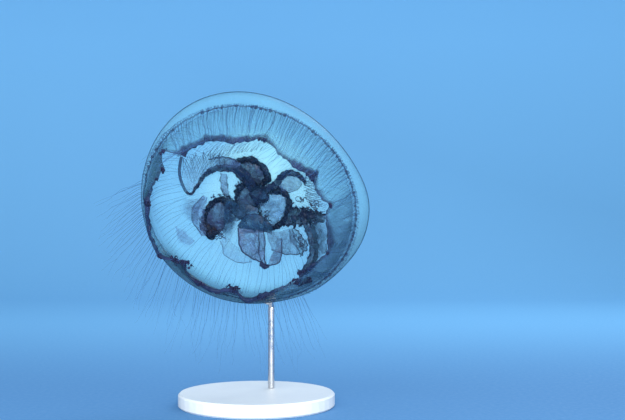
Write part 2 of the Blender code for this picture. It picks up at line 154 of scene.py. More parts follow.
def smooth_through(knots: Array, levels: Array, slopes: Array, where: Array) -> Array:
    """Cubic curve through given levels with given slopes.

    Args:
        knots: places of the levels, rising.
        levels: value, or point, at each knot.
        slopes: rate of change at each knot.
        where: places where the curve is wanted.

    Returns:
        The value, or point, at each place.
    """
    gaps = np.diff(knots)
    step = np.clip(np.searchsorted(knots, where, side="right") - 1, 0, len(gaps) - 1)
    shape = (-1,) + (1,) * (levels.ndim - 1)
    gap = gaps[step].reshape(shape)
    share = (where - knots[step]).reshape(shape) / gap
    left = 1.0 - share
    return ((1.0 + 2.0 * share) * left ** 2 * levels[step]
            + share * left ** 2 * gap * slopes[step]
            + share ** 2 * (3.0 - 2.0 * share) * levels[step + 1]
            - share ** 2 * left * gap * slopes[step + 1])


def spline(handles: Sequence[Sequence[float]], count: int) -> Array:
    """A smooth curve through its handles.

    Args:
        handles: points the curve passes through.
        count: number of points wanted, evenly spread.

    Returns:
        The points of the curve.
    """
    knots = np.array(handles, dtype=float)
    at = np.append(0.0, np.cumsum(np.linalg.norm(np.diff(knots, axis=0), axis=1)))
    return smooth_through(at, knots, np.gradient(knots, at, axis=0),
                          np.linspace(0.0, at[-1], count))


def loop(sweep: Array, first: Array, second: Array, creep: float = 0.0) -> Array:
    """A round that sets out along the first direction and bends to the second."""
    sweep = sweep[:, None]
    return first * np.sin(sweep) + second * (1.0 - np.cos(sweep) + creep * sweep)


def loose_loop(dice: Dice, sweep: Span, count: int, creep: float = 0.0) -> Array:
    """A loop of unit size, turned any way.

    Args:
        dice: source of its turn.
        sweep: least and greatest angle it runs through.
        count: number of points.
        creep: how far it drifts aside as it runs.

    Returns:
        Its points about its start.
    """
    angles = np.linspace(0.0, dice.uniform(*sweep), count)
    first, second = np.linalg.qr(dice.normal(size=(3, 3)))[0][:2]
    return loop(angles, first, second, creep)


def jitter(points: Array, size: float, scale: float, seed: float) -> Array:
    """Push points about by smooth noise, the same way each run.

    Args:
        points: grid of points.
        size: how far a point is pushed.
        scale: how quickly the push changes.
        seed: fixed seed of the push.

    Returns:
        The points, moved.
    """
    flat = points.reshape(-1, 3)
    shift = np.array([noise.noise_vector(Vector(point * scale) + Vector((seed, 0.0, 0.0)))
                      for point in flat])
    return (flat + shift * size).reshape(points.shape)


def blotches(points: Array, scale: float, seed: float) -> Array:
    """Smooth noise from about -1 to 1 at each point."""
    values = np.array([noise.fractal(Vector(point * scale) + Vector((0.0, seed, 0.0)),
                                     0.9, 2.1, 3) for point in points.reshape(-1, 3)])
    return values.reshape(points.shape[:-1])


# ------------------------------------------------------------------ form of the bell
@dataclass(frozen=True)
class Tack:
    """A place on the free edge: how far out it is held, how stout it is and how it curls."""

    azimuth: float
    reach: float
    body: float = 1.0
    curl: float = 0.0
    organ: bool = False


@dataclass(frozen=True)
class BellForm:
    """Sizes of the bell and its place in the room."""

    centre: Point = (-0.004, -0.030, 0.180)
    off_level: float = math.radians(28.2)
    lean: float = math.radians(20.5)
    radius: float = 0.100
    crown: float = 0.052
    out_of_round: float = 0.025
    low_bulge: float = 0.020
    right_bulge: float = 0.022
    swell_azimuth: float = math.radians(-4.0)
    ring_outer: float = 0.0930
    ring_inner: float = 0.0906
    ring_drop: float = 0.0050
    roof_radius: float = 0.0900
    roof_rise: float = 0.0420
    roof_base: float = -0.0030
    edge_drop: float = 0.0310
    # rim_tilt and rim_offset set the slant of the dark outline of painted shade round the rim
    rim_tilt: float = 0.154
    rim_azimuth: float = math.radians(-82.0)
    rim_offset: float = -0.0031
    tacks: tuple[Tack, ...] = (
        Tack(-155.8, 0.0900, 0.5, 0.5, True), Tack(-152.9, 0.0829, 0.5),
        Tack(-147.6, 0.0777, 1.0, 0.9), Tack(-129.8, 0.0785, 0.9, 0.7),
        Tack(-111.6, 0.0737, 1.1), Tack(-93.1, 0.0799, 0.7, 0.6, True),
        Tack(-81.5, 0.0735, 0.5), Tack(-68.1, 0.0718, 1.0), Tack(-55.8, 0.0772, 1.2, 1.1),
        Tack(-47.3, 0.0732, 0.6), Tack(-39.5, 0.0742, 0.6),
        Tack(-33.5, 0.0788, 0.5, 0.3, True), Tack(-27.8, 0.0734, 0.4),
        Tack(-19.1, 0.0745, 0.7), Tack(-9.2, 0.0767, 1.0), Tack(0.8, 0.0780, 0.6, 0.0, True),
        Tack(8.2, 0.0742, 0.6), Tack(16.5, 0.0716, 1.0), Tack(24.2, 0.0700, 0.8, 1.2),
        Tack(31.9, 0.0737, 0.6, 1.4), Tack(39.9, 0.0715, 0.4), Tack(47.7, 0.0722, 0.7),
        Tack(60.2, 0.0768, 1.8, 0.8, True), Tack(69.5, 0.0808, 2.0), Tack(75.0, 0.0768, 1.5),
        Tack(79.5, 0.0716, 1.2, 2.0), Tack(84.5, 0.0730, 1.3),
        Tack(91.0, 0.0775, 1.6, 0.3, True), Tack(98.0, 0.0797, 1.6),
        Tack(103.5, 0.0790, 1.4, 1.3), Tack(109.5, 0.0786, 1.0), Tack(116.0, 0.0758, 0.7),
        Tack(121.5, 0.0728, 0.9, 2.2), Tack(127.0, 0.0772, 1.0, 1.4),
        Tack(133.0, 0.0872, 1.3, 0.5, True), Tack(143.0, 0.0868, 1.2),
        Tack(152.0, 0.0862, 1.3), Tack(161.0, 0.0853, 1.4),
        Tack(169.2, 0.0852, 1.4, 1.2, True), Tack(177.6, 0.0832, 0.6),
        Tack(186.5, 0.0814, 0.3, 0.4), Tack(194.5, 0.0812, 0.3, 0.7),
        Tack(198.1, 0.0858, 0.2),
    )

    def place(self, points: Array) -> Array:
        """Carry points from the bell's frame into the room.

        Args:
            points: points in the bell's frame.

        Returns:
            The same points in the room.
        """
        lean = np.array((math.sin(self.lean), 0.0, math.cos(self.lean)))
        axis = np.array((0.0, math.cos(self.off_level), 0.0)) + math.sin(self.off_level) * lean
        side = np.array((math.cos(self.lean), 0.0, -math.sin(self.lean)))
        return points @ np.stack((side, np.cross(axis, side), axis)) + np.array(self.centre)

    def swell(self, azimuth: Array) -> Array:
        """Share by which the skin stands out of round.

        Args:
            azimuth: angles about the axis.

        Returns:
            The share at each angle.
        """
        turned = degrees_from(azimuth)
        right = bump(turned, -24.0, 15.0) - 1.15 * bump(turned, 16.0, 17.0)
        return (self.out_of_round * np.cos(3.0 * (azimuth - self.swell_azimuth))
                + self.low_bulge * bump(turned, 82.0, 24.0) + self.right_bulge * right)

    def along_edge(self, azimuth: Array, values: Sequence[float]) -> Array:
        """Smooth value along the margin, one given at each tack, with no overshoot.

        Args:
            azimuth: angles about the axis, in radians.
            values: one value for each tack.

        Returns:
            The value at each angle.
        """
        knots = np.array([tack.azimuth for tack in self.tacks])
        turned = (np.degrees(azimuth) - knots[0]) % 360.0
        knots = np.append(knots - knots[0], 360.0)
        level = np.append(values, values[0])
        rise = np.diff(level) / np.diff(knots)
        before = np.roll(rise, 1)
        same = rise * before > 0.0
        slope = np.where(same, 2.0 * rise * before / np.where(same, rise + before, 1.0), 0.0)
        return smooth_through(knots, level, np.append(slope, slope[0]), turned)

    def edge_reach(self, azimuth: Array) -> Array:
        """Radius of the free edge."""
        return self.along_edge(azimuth, [tack.reach for tack in self.tacks])

    def edge_body(self, azimuth: Array) -> Array:
        """How stout and dark the free edge is, 1 for the usual."""
        return self.along_edge(azimuth, [tack.body for tack in self.tacks])

    def curling(self, azimuth: Array) -> Array:
        """How much the free edge curls, with a hump at every tack that does."""
        return sum(tack.curl * bump(degrees_from(azimuth, tack.azimuth), 0.0, 2.0)
                   for tack in self.tacks)

    def rim_line(self, azimuth: Array) -> Array:
        """A thin dark outline of painted shade that runs aslant round the rim of the bell.

        Args:
            azimuth: angles about the axis.

        Returns:
            The points of the line in the bell's frame.
        """
        turned = degrees_from(azimuth)
        high = np.maximum(self.rim_tilt * self.radius * np.cos(azimuth - self.rim_azimuth)
                          + self.rim_offset, 0.0)
        wide = np.sqrt(1.0 - (high / self.crown) ** 2)
        low = (0.22 + 0.18 * bump(turned, 60.0, 30.0)) * QUARTER
        low = low * (ramp(-4.0, 28.0, turned) - ramp(160.0, 179.0, turned))
        depth = self.radius - self.ring_outer
        radius = (self.radius * wide - depth * (1.0 - np.cos(low))) * (1.0 + self.swell(azimuth))
        return polar(radius, azimuth, high - self.ring_drop * np.sin(low))

    def roof_height(self, radius: Array) -> Array:
        """Height of the roof of the hollow over the widest level."""
        inside = np.clip(1.0 - (np.asarray(radius) / self.roof_radius) ** 2, 0.0, 1.0)
        return self.roof_base + self.roof_rise * np.sqrt(inside)


# ------------------------------------------------------------------ meshes
def new_mesh(name: str, points: Array, edges: Sequence[Span] = (),
             faces: Sequence[Sequence[int]] = ()) -> bpy.types.Mesh:
    """A mesh from its points and what joins them."""
    mesh = bpy.data.meshes.new(name)
    mesh.from_pydata(np.asarray(points).tolist(), edges, faces)
    return mesh


def link(mesh: bpy.types.Mesh) -> Piece:
    """Put a mesh in the scene under its own name."""
    piece = bpy.data.objects.new(mesh.name, mesh)
    bpy.context.scene.collection.objects.link(piece)
    return piece


def store(mesh: bpy.types.Mesh, name: str, kind: str, entry: str, values: Array) -> None:
    """Keep a value at each point of a mesh."""
    layer = mesh.attributes.new(name, kind, "POINT")
    layer.data.foreach_set(entry, values.astype(np.float32).ravel())


def normals_of(sheet: Array) -> Array:
    """Unit normals of a grid of points."""
    return unit(np.cross(np.gradient(sheet, axis=0), np.gradient(sheet, axis=1)))


def folded(values: Array, rear: Array | None = None) -> Array:
    """Run a grid's rows out along the front and home along the back."""
    back = values if rear is None else rear
    return np.concatenate((values, back[:, ::-1]), axis=1)


def thicken(sheet: Array, half: Array) -> Array:
    """Rings of a thin closed shell, half its thickness to either side of a sheet."""
    offset = normals_of(sheet) * half[..., None]
    return folded(sheet + offset, sheet - offset)


@dataclass
class Weave:
    """Collects the closed shells of one piece, with their tint and veil."""

    form: BellForm
    points: list[Array] = field(default_factory=list)
    faces: list[Sequence[int]] = field(default_factory=list)
    tints: list[Array] = field(default_factory=list)
    veils: list[Array] = field(default_factory=list)
    count: int = 0

    def _keep(self, points: Array, tint: Array, veil: Array) -> Array:
        """Keep some points and give their numbers.

        Args:
            points: points in the room.
            tint: colour of each.
            veil: opacity of each.

        Returns:
            Their numbers in the mesh.
        """
        self.points.append(points)
        self.tints.append(tint)
        self.veils.append(veil)
        self.count += len(points)
        return np.arange(self.count - len(points), self.count)

    def loft(self, rings: Array, tint: Colour | Array, veil: Array,
             poles: Sequence[Array] | None = None) -> "Weave":
        """Add a tube of rings.

        Args:
            rings: grid of points in the bell's frame, one closed ring to a row.
            tint: colour of every point, or one for all.
            veil: opacity of every point, or one for all.
            poles: end points; without them the ends are closed across, front to back.

        Returns:
            The weave itself.
        """
        rows, sides = rings.shape[:2]
        tint = np.broadcast_to(np.asarray(tint, dtype=float), rings.shape)
        veil = np.broadcast_to(np.asarray(veil, dtype=float), rings.shape[:2])
        grid = self._keep(self.form.place(rings).reshape(-1, 3), tint.reshape(-1, 3),
                          veil.reshape(-1)).reshape(rows, sides)
        turned = np.roll(grid, -1, axis=1)
        quads = np.stack((grid[:-1], turned[:-1], turned[1:], grid[1:]), axis=-1)
        self.faces.extend(quads.reshape(-1, 4).tolist())
        for end, row in enumerate((0, -1)):
            ring = grid[row].tolist()
            if poles is None:
                self.faces.extend((ring[k], ring[k + 1], ring[sides - 2 - k],
                                   ring[sides - 1 - k]) for k in range(sides // 2 - 1))
                continue
            pole = self.form.place(np.asarray(poles[end]))[None, :]
            tip = int(self._keep(pole, tint[row, :1], veil[row, :1])[0])
            self.faces.extend((tip, here, there)
                              for here, there in zip(ring, ring[1:] + ring[:1]))
        return self

    def build(self, name: str, finish: Material) -> Piece:
        """Make the object from what was collected, with its faces outwards, and dress it.

        Args:
            name: name of the piece.
            finish: its material.

        Returns:
            The finished piece.
        """
        mesh = new_mesh(name, np.concatenate(self.points), (), self.faces)
        mesh.update()
        tint = np.ones((self.count, 4))
        tint[:, :3] = np.concatenate(self.tints)
        store(mesh, "tint", "FLOAT_COLOR", "color", tint)
        store(mesh, "veil", "FLOAT", "value", np.concatenate(self.veils))
        work = bmesh.new()
        work.from_mesh(mesh)
        bmesh.ops.recalc_face_normals(work, faces=work.faces)
        work.to_mesh(mesh)
        work.free()
        mesh.shade_smooth()
        mesh.materials.append(finish)
        return link(mesh)


# ------------------------------------------------------------------ finishes
class Bench:
    """Shorthand for wiring nodes."""

    def __init__(self, tree: bpy.types.NodeTree) -> None:
        """Work on a node tree."""
        self.tree = tree

    def feed(self, entry: Socket, value: object) -> None:
        """Wire a socket to an input, or set the input to a value."""
        if isinstance(value, Socket):
            self.tree.links.new(value, entry)
        else:
            entry.default_value = value

    def add(self, kind: str, inputs: dict[str | int, object] | None = None,
            **settings: object) -> bpy.types.Node:
        """Add a node.

        Args:
            kind: the node's type.
            inputs: sockets or values for its inputs, by name or place.
            **settings: the node's own properties.

        Returns:
            The node.
        """
        node = self.tree.nodes.new(kind)
        for name, value in settings.items():
            setattr(node, name, value)
        for entry, value in (inputs or {}).items():
            self.feed(node.inputs[entry], value)
        return node

    def maths(self, operation: str, first: object, second: object, clamp: bool = False) -> Socket:
        """A Math node on sockets or numbers."""
        return self.add("ShaderNodeMath", {0: first, 1: second}, operation=operation,
                        use_clamp=clamp).outputs[0]

    def blend(self, share: object, first: object, second: object, mode: str = "MIX") -> Socket:
        """A colour Mix node on sockets or colours."""
        ends = [value if isinstance(value, Socket) else (*value, 1.0)
                for value in (first, second)]
        return self.add("ShaderNodeMix", {0: share, 6: ends[0], 7: ends[1]},
                        data_type="RGBA", blend_type=mode).outputs[2]

    def span(self, value: Socket, low: object, high: object, reach: Span = (0.0, 1.0),
             **settings: object) -> Socket:
        """A Map Range node that brings a value's reach to low and high."""
        return self.add("ShaderNodeMapRange", {
            "Value": value, "From Min": reach[0], "From Max": reach[1], "To Min": low,
            "To Max": high}, **settings).outputs["Result"]

    def pattern(self, scale: float, detail: float, roughness: float = 0.5,
                distortion: float = 0.0, stretch: Point | None = None) -> Socket:
        """Noise over the object's own coordinates.

        Args:
            scale: how fine it is.
            detail: octaves.
            roughness: weight of the fine octaves.
            distortion: how far it is warped.
            stretch: scale along each axis, where it is not even.

        Returns:
            The noise.
        """
        place = self.add("ShaderNodeTexCoord").outputs["Object"]
        if stretch:
            place = self.add("ShaderNodeMapping",
                             {"Vector": place, "Scale": stretch}).outputs["Vector"]
        return self.add("ShaderNodeTexNoise", {
            "Vector": place, "Scale": scale, "Detail": detail, "Roughness": roughness,
            "Distortion": distortion}).outputs["Fac"]

    def relief(self, height: Socket, strength: float, distance: float) -> Socket:
        """A Bump node."""
        return self.add("ShaderNodeBump", {"Height": height, "Strength": strength,
                                           "Distance": distance}).outputs["Normal"]

    def attribute(self, name: str, output: str = "Fac") -> Socket:
        """A value stored on the mesh."""
        return self.add("ShaderNodeAttribute", attribute_name=name).outputs[output]


@dataclass(frozen=True)
class Finish:
    """A surface finish: gloss, grain and how they vary."""

    name: str
    roughness: float = 0.3
    grain: float = 220.0
    relief: float = 0.00006
    gloss: float = 0.07

    def start(self) -> tuple[Material, Bench, bpy.types.Node]:
        """Make the material with its shader, its gloss and its relief.

        Returns:
            The material, a bench on its tree, and its shader.
        """
        material = bpy.data.materials.new(self.name)
        material.use_nodes = True
        bench = Bench(material.node_tree)
        shader = material.node_tree.nodes["Principled BSDF"]
        fine = bench.pattern(self.grain, 4.0, 0.55)
        bench.feed(shader.inputs["Roughness"], bench.span(
            fine, self.roughness * 0.8, self.roughness * 1.3, (0.3, 0.7)))
        bench.feed(shader.inputs["Normal"], bench.relief(fine, 0.6, self.relief))
        shader.inputs["Specular IOR Level"].default_value = self.gloss
        return material, bench, shader

    def cloud(self, bench: Bench, scale: float, low: float, high: float) -> Socket:
        """Smooth variation from low to high over the object."""
        return bench.span(bench.pattern(scale, 3.0), low, high, (0.32, 0.68))


@dataclass(frozen=True)
class JellyFinish(Finish):
    """Clear tinted jelly whose tint and thickness are stored on the surface."""

    cloud_scale: float = 38.0
    cloud_depth: float = 0.10
    vein_scale: float = 150.0
    vein_depth: float = 0.0
    vein_tint: Colour = (0.012, 0.018, 0.050)

    def _veins(self, bench: Bench) -> Socket:
        """Fine branching wrinkles, 1 on their crests.

        Args:
            bench: bench on the material's tree.

        Returns:
            The wrinkles' strength.
        """
        folds = bench.pattern(self.vein_scale, 3.0, 0.6, 0.9)
        away = bench.maths("ABSOLUTE", bench.maths("SUBTRACT", folds, 0.5), 0.0)
        crest = bench.maths("SUBTRACT", 1.0, bench.maths("MULTIPLY", away, 13.0), clamp=True)
        return bench.maths("POWER", crest, 1.6)

    def make(self) -> Material:
        """Make the material.

        Returns:
            The finished material.
        """
        material, bench, shader = self.start()
        veil = bench.attribute("veil")
        cloud = self.cloud(bench, self.cloud_scale, 1.0 - self.cloud_depth,
                           1.0 + self.cloud_depth)
        shade = bench.blend(0.5, bench.attribute("tint", "Color"), cloud, "MULTIPLY")
        thick = bench.maths("MULTIPLY", veil, cloud, clamp=True)
        if self.vein_depth > 0.0:
            crest = self._veins(bench)
            shade = bench.blend(bench.maths("MULTIPLY", crest, 0.75), shade, self.vein_tint)
            more = bench.maths("MULTIPLY", crest, self.vein_depth)
            thick = bench.maths("ADD", thick, bench.maths("MULTIPLY", more, veil), clamp=True)
        bench.feed(shader.inputs["Base Color"], shade)
        bench.feed(shader.inputs["Alpha"], thick)
        return material


@dataclass(frozen=True)
class StrandFinish(Finish):
    """A thread that changes from root to tip; one colour or veil alone holds all along."""

    colours: tuple[Colour, ...] = ((0.02, 0.04, 0.12),)
    veils: tuple[float, ...] = (0.85,)

    def make(self) -> Material:
        """Make the material.

        Returns:
            The finished material.
        """
        material, bench, shader = self.start()
        along = bench.attribute("along")
        cloud = self.cloud(bench, 55.0, 0.75, 1.25)
        colour = bench.blend(along, self.colours[0], self.colours[-1])
        fade = bench.span(along, self.veils[0], self.veils[-1])
        bench.feed(shader.inputs["Base Color"], bench.blend(0.6, colour, cloud, "MULTIPLY"))
        bench.feed(shader.inputs["Alpha"], bench.maths("MULTIPLY", fade, cloud, clamp=True))
        return material


@dataclass(frozen=True)
class SatinFinish(Finish):
    """Opaque satin paint or metal, with a faint mottle."""

    light: Colour = (0.80, 0.80, 0.78)
    dark: Colour = (0.72, 0.72, 0.71)
    metallic: float = 0.0
    brushed: bool = False

    def make(self) -> Material:
        """Make the material.

        Returns:
            The finished material.
        """
        material, bench, shader = self.start()
        share = self.cloud(bench, 24.0, 0.0, 1.0)
        bench.feed(shader.inputs["Base Color"], bench.blend(share, self.light, self.dark))
        shader.inputs["Metallic"].default_value = self.metallic
        if self.brushed:
            lines = bench.pattern(1.0, 2.0, stretch=(900.0, 900.0, 30.0))
            bench.feed(shader.inputs["Normal"], bench.relief(lines, 0.35, 0.00005))
        return material


@dataclass(frozen=True)
class PaperFinish(Finish):
    """Blue paper with painted shade, deepest on the near floor and palest on the wall."""

    # painted shade: the floor is coloured darker towards the front, the wall palest
    wall: Colour = (0.205, 0.525, 0.87)
    far_floor: Colour = (0.168, 0.430, 0.720)
    shaded_near_floor: Colour = (0.096, 0.255, 0.500)

    def make(self) -> Material:
        """Make the material.

        Returns:
            The finished material.
        """
        material, bench, shader = self.start()
        place = bench.add("ShaderNodeTexCoord").outputs["Object"]
        parts = bench.add("ShaderNodeSeparateXYZ", {0: place})
        away = bench.span(parts.outputs["Y"], 0.0, 1.0, (0.0, 0.85),
                          interpolation_type="SMOOTHSTEP")
        floor = bench.blend(away, self.shaded_near_floor, self.far_floor)
        share = bench.maths("MULTIPLY", parts.outputs["Z"], 1.6, clamp=True)
        bench.feed(shader.inputs["Base Color"], bench.blend(share, floor, self.wall))
        return material


# ------------------------------------------------------------------ node trees
class TreeKit(Bench):
    """A Geometry Nodes tree under construction."""

    def __init__(self, name: str, knobs: dict[str, str]) -> None:
        """Start an empty tree with one geometry in and one out, and its named inputs.

        Args:
            name: name of the tree.
            knobs: name and kind of each input.
        """
        tree = bpy.data.node_groups.new(name, "GeometryNodeTree")
        super().__init__(tree)
        for label, way, kind in (("Geometry", "INPUT", "Geometry"),
                                 ("Geometry", "OUTPUT", "Geometry"),
                                 *((knob, "INPUT", kind) for knob, kind in knobs.items())):
            tree.interface.new_socket(label, in_out=way, socket_type=f"NodeSocket{kind}")
        self.entry = self.add("NodeGroupInput")

    def given(self, name: str) -> Socket:
        """The named input inside the tree."""
        return self.entry.outputs[name]

    def shape(self, kind: str, inputs: dict[str | int, object], **settings: object) -> Socket:
        """Add a node and give its first output."""
        return self.add(kind, inputs, **settings).outputs[0]

    def close(self, geometry: Socket) -> None:
        """End the tree: smooth, real and dressed.

        Args:
            geometry: what the tree has drawn.
        """
        smooth = self.shape("GeometryNodeSetShadeSmooth", {"Geometry": geometry})
        real = self.shape("GeometryNodeRealizeInstances", {"Geometry": smooth})
        dressed = self.shape("GeometryNodeSetMaterial",
                             {"Geometry": real, "Material": self.given("Finish")})
        self.add("NodeGroupOutput", {"Geometry": dressed})

    def apply(self, piece: Piece, values: dict[str, object]) -> Piece:
        """Run the tree on an object and keep only the plain mesh.

        Args:
            piece: object whose mesh feeds the tree.
            values: input name to value.

        Returns:
            The same object, holding the finished mesh and no modifier.
        """
        modifier = piece.modifiers.new("grow", "NODES")
        modifier.node_group = self.tree
        for item in self.tree.interface.items_tree:
            if item.in_out == "INPUT" and item.name in values:
                modifier[item.identifier] = values[item.name]
        graph = bpy.context.evaluated_depsgraph_get()
        grown = bpy.data.meshes.new_from_object(piece.evaluated_get(graph),
                                                preserve_all_data_layers=True,
                                                depsgraph=graph)
        piece.modifiers.remove(modifier)
        old, piece.data = piece.data, grown
        grown.name = piece.name
        bpy.data.meshes.remove(old)
        return piece


class StrandTree(TreeKit):
    """Turns polylines into tapered threads with a little wander."""

    def __init__(self) -> None:
        """Build the tree."""
        super().__init__("strand_tree", {
            "Root Radius": "Float", "Tip Radius": "Float", "Points": "Int", "Sides": "Int",
            "Wander": "Float", "Wander Scale": "Float", "Seed": "Float",
            "Finish": "Material"})
        along = self.add("GeometryNodeSplineParameter").outputs["Factor"]
        curve = self.shape("GeometryNodeMeshToCurve", {"Mesh": self.given("Geometry")})
        even = self.shape("GeometryNodeResampleCurve",
                          {"Curve": curve, "Count": self.given("Points")})
        sized = self._taper(self._wander(even, along), along)
        kept = self.shape("GeometryNodeStoreNamedAttribute", {
            "Geometry": sized, "Name": "along", "Value": along}, data_type="FLOAT",
            domain="POINT")
        ring = self.shape("GeometryNodeCurvePrimitiveCircle",
                          {"Radius": 1.0, "Resolution": self.given("Sides")})
        self.close(self.shape("GeometryNodeCurveToMesh", {
            "Fill Caps": True, "Curve": kept, "Profile Curve": ring,
            "Scale": self.shape("GeometryNodeInputRadius", {})}))

    def _wander(self, curve: Socket, along: Socket) -> Socket:
        """Push the points about, more towards the tip, each strand its own way.

        Args:
            curve: the strands.
            along: place along a strand, 0 to 1.

        Returns:
            The strands, moved.
        """
        strand = self.shape("GeometryNodeFieldOnDomain",
                            {0: self.shape("GeometryNodeInputIndex", {})},
                            domain="CURVE", data_type="INT")
        own = self.maths("ADD", self.maths("MULTIPLY", strand, 0.731), self.given("Seed"))
        stray = self.add("ShaderNodeTexNoise", {
            "Detail": 1.0, "Vector": self.shape("GeometryNodeInputPosition", {}),
            "Scale": self.given("Wander Scale"), "W": own},
            noise_dimensions="4D").outputs["Color"]
        centred = self.shape("ShaderNodeVectorMath", {0: stray, 1: (0.5, 0.5, 0.5)},
                             operation="SUBTRACT")
        reach = self.maths("MULTIPLY", along, self.given("Wander"))
        shift = self.shape("ShaderNodeVectorMath", {0: centred, "Scale": reach},
                           operation="SCALE")
        return self.shape("GeometryNodeSetPosition", {"Geometry": curve, "Offset": shift})

    def _taper(self, curve: Socket, along: Socket) -> Socket:
        """Set the radius from root to tip, times the strand's own girth.

        Args:
            curve: the strands.
            along: place along a strand, 0 to 1.

        Returns:
            The strands with their radius.
        """
        girth = self.add("GeometryNodeInputNamedAttribute", {"Name": "girth"},
                         data_type="FLOAT").outputs["Attribute"]
        taper = self.span(along, self.given("Root Radius"), self.given("Tip Radius"))
        return self.shape("GeometryNodeSetCurveRadius", {
            "Curve": curve, "Radius": self.maths("MULTIPLY", taper, girth)})

    def grow(self, name: str, strands: Sequence[Strand], finish: Material, radii: Span,
             points: int = 16, sides: int = 4, wander: Span = (0.0, 40.0),
             seed: float = 1.0) -> Piece:
        """Make one piece of many threads.

        Args:
            name: name of the piece.
            strands: each thread's points, root first, and its girth as a share of the usual.
            finish: material of the threads.
            radii: radius at the root and at the tip.
            points: points along each thread.
            sides: sides of a thread.
            wander: how far a tip strays, and how quickly the straying changes.
            seed: fixed seed of the straying.

        Returns:
            The finished piece.
        """
        lines, girths = zip(*strands)
        counts = [len(line) for line in lines]
        starts = np.cumsum([0] + counts[:-1])
        edges = [(start + k, start + k + 1) for start, count in zip(starts, counts)
                 for k in range(count - 1)]
        mesh = new_mesh(name, np.concatenate(lines), edges)
        store(mesh, "girth", "FLOAT", "value", np.repeat(girths, counts))
        return self.apply(link(mesh), {
            "Root Radius": radii[0], "Tip Radius": radii[1], "Points": points,
            "Sides": sides, "Wander": wander[0], "Wander Scale": wander[1], "Seed": seed,
            "Finish": finish})


class BeadTree(TreeKit):
    """Sets small round beads of varied size on points."""

    def __init__(self) -> None:
        """Build the tree."""
        super().__init__("bead_tree", {"Radius": "Float", "Least": "Float", "Most": "Float",
                                       "Seed": "Int", "Finish": "Material"})
        size = self.add("FunctionNodeRandomValue", {
            2: self.given("Least"), 3: self.given("Most"), "Seed": self.given("Seed")},
            data_type="FLOAT").outputs[1]
        spots = self.shape("GeometryNodeMeshToPoints", {"Mesh": self.given("Geometry")})
        ball = self.shape("GeometryNodeMeshIcoSphere",
                          {"Subdivisions": 2, "Radius": self.given("Radius")})
        self.close(self.shape("GeometryNodeInstanceOnPoints", {
            "Points": spots, "Instance": ball, "Scale": size}))

    def scatter(self, name: str, spots: Array, finish: Material, radius: float, shares: Span,
                seed: int) -> Piece:
        """Make one piece of beads."""
        return self.apply(link(new_mesh(name, spots)), {
            "Radius": radius, "Least": shares[0], "Most": shares[1], "Seed": seed,
            "Finish": finish})


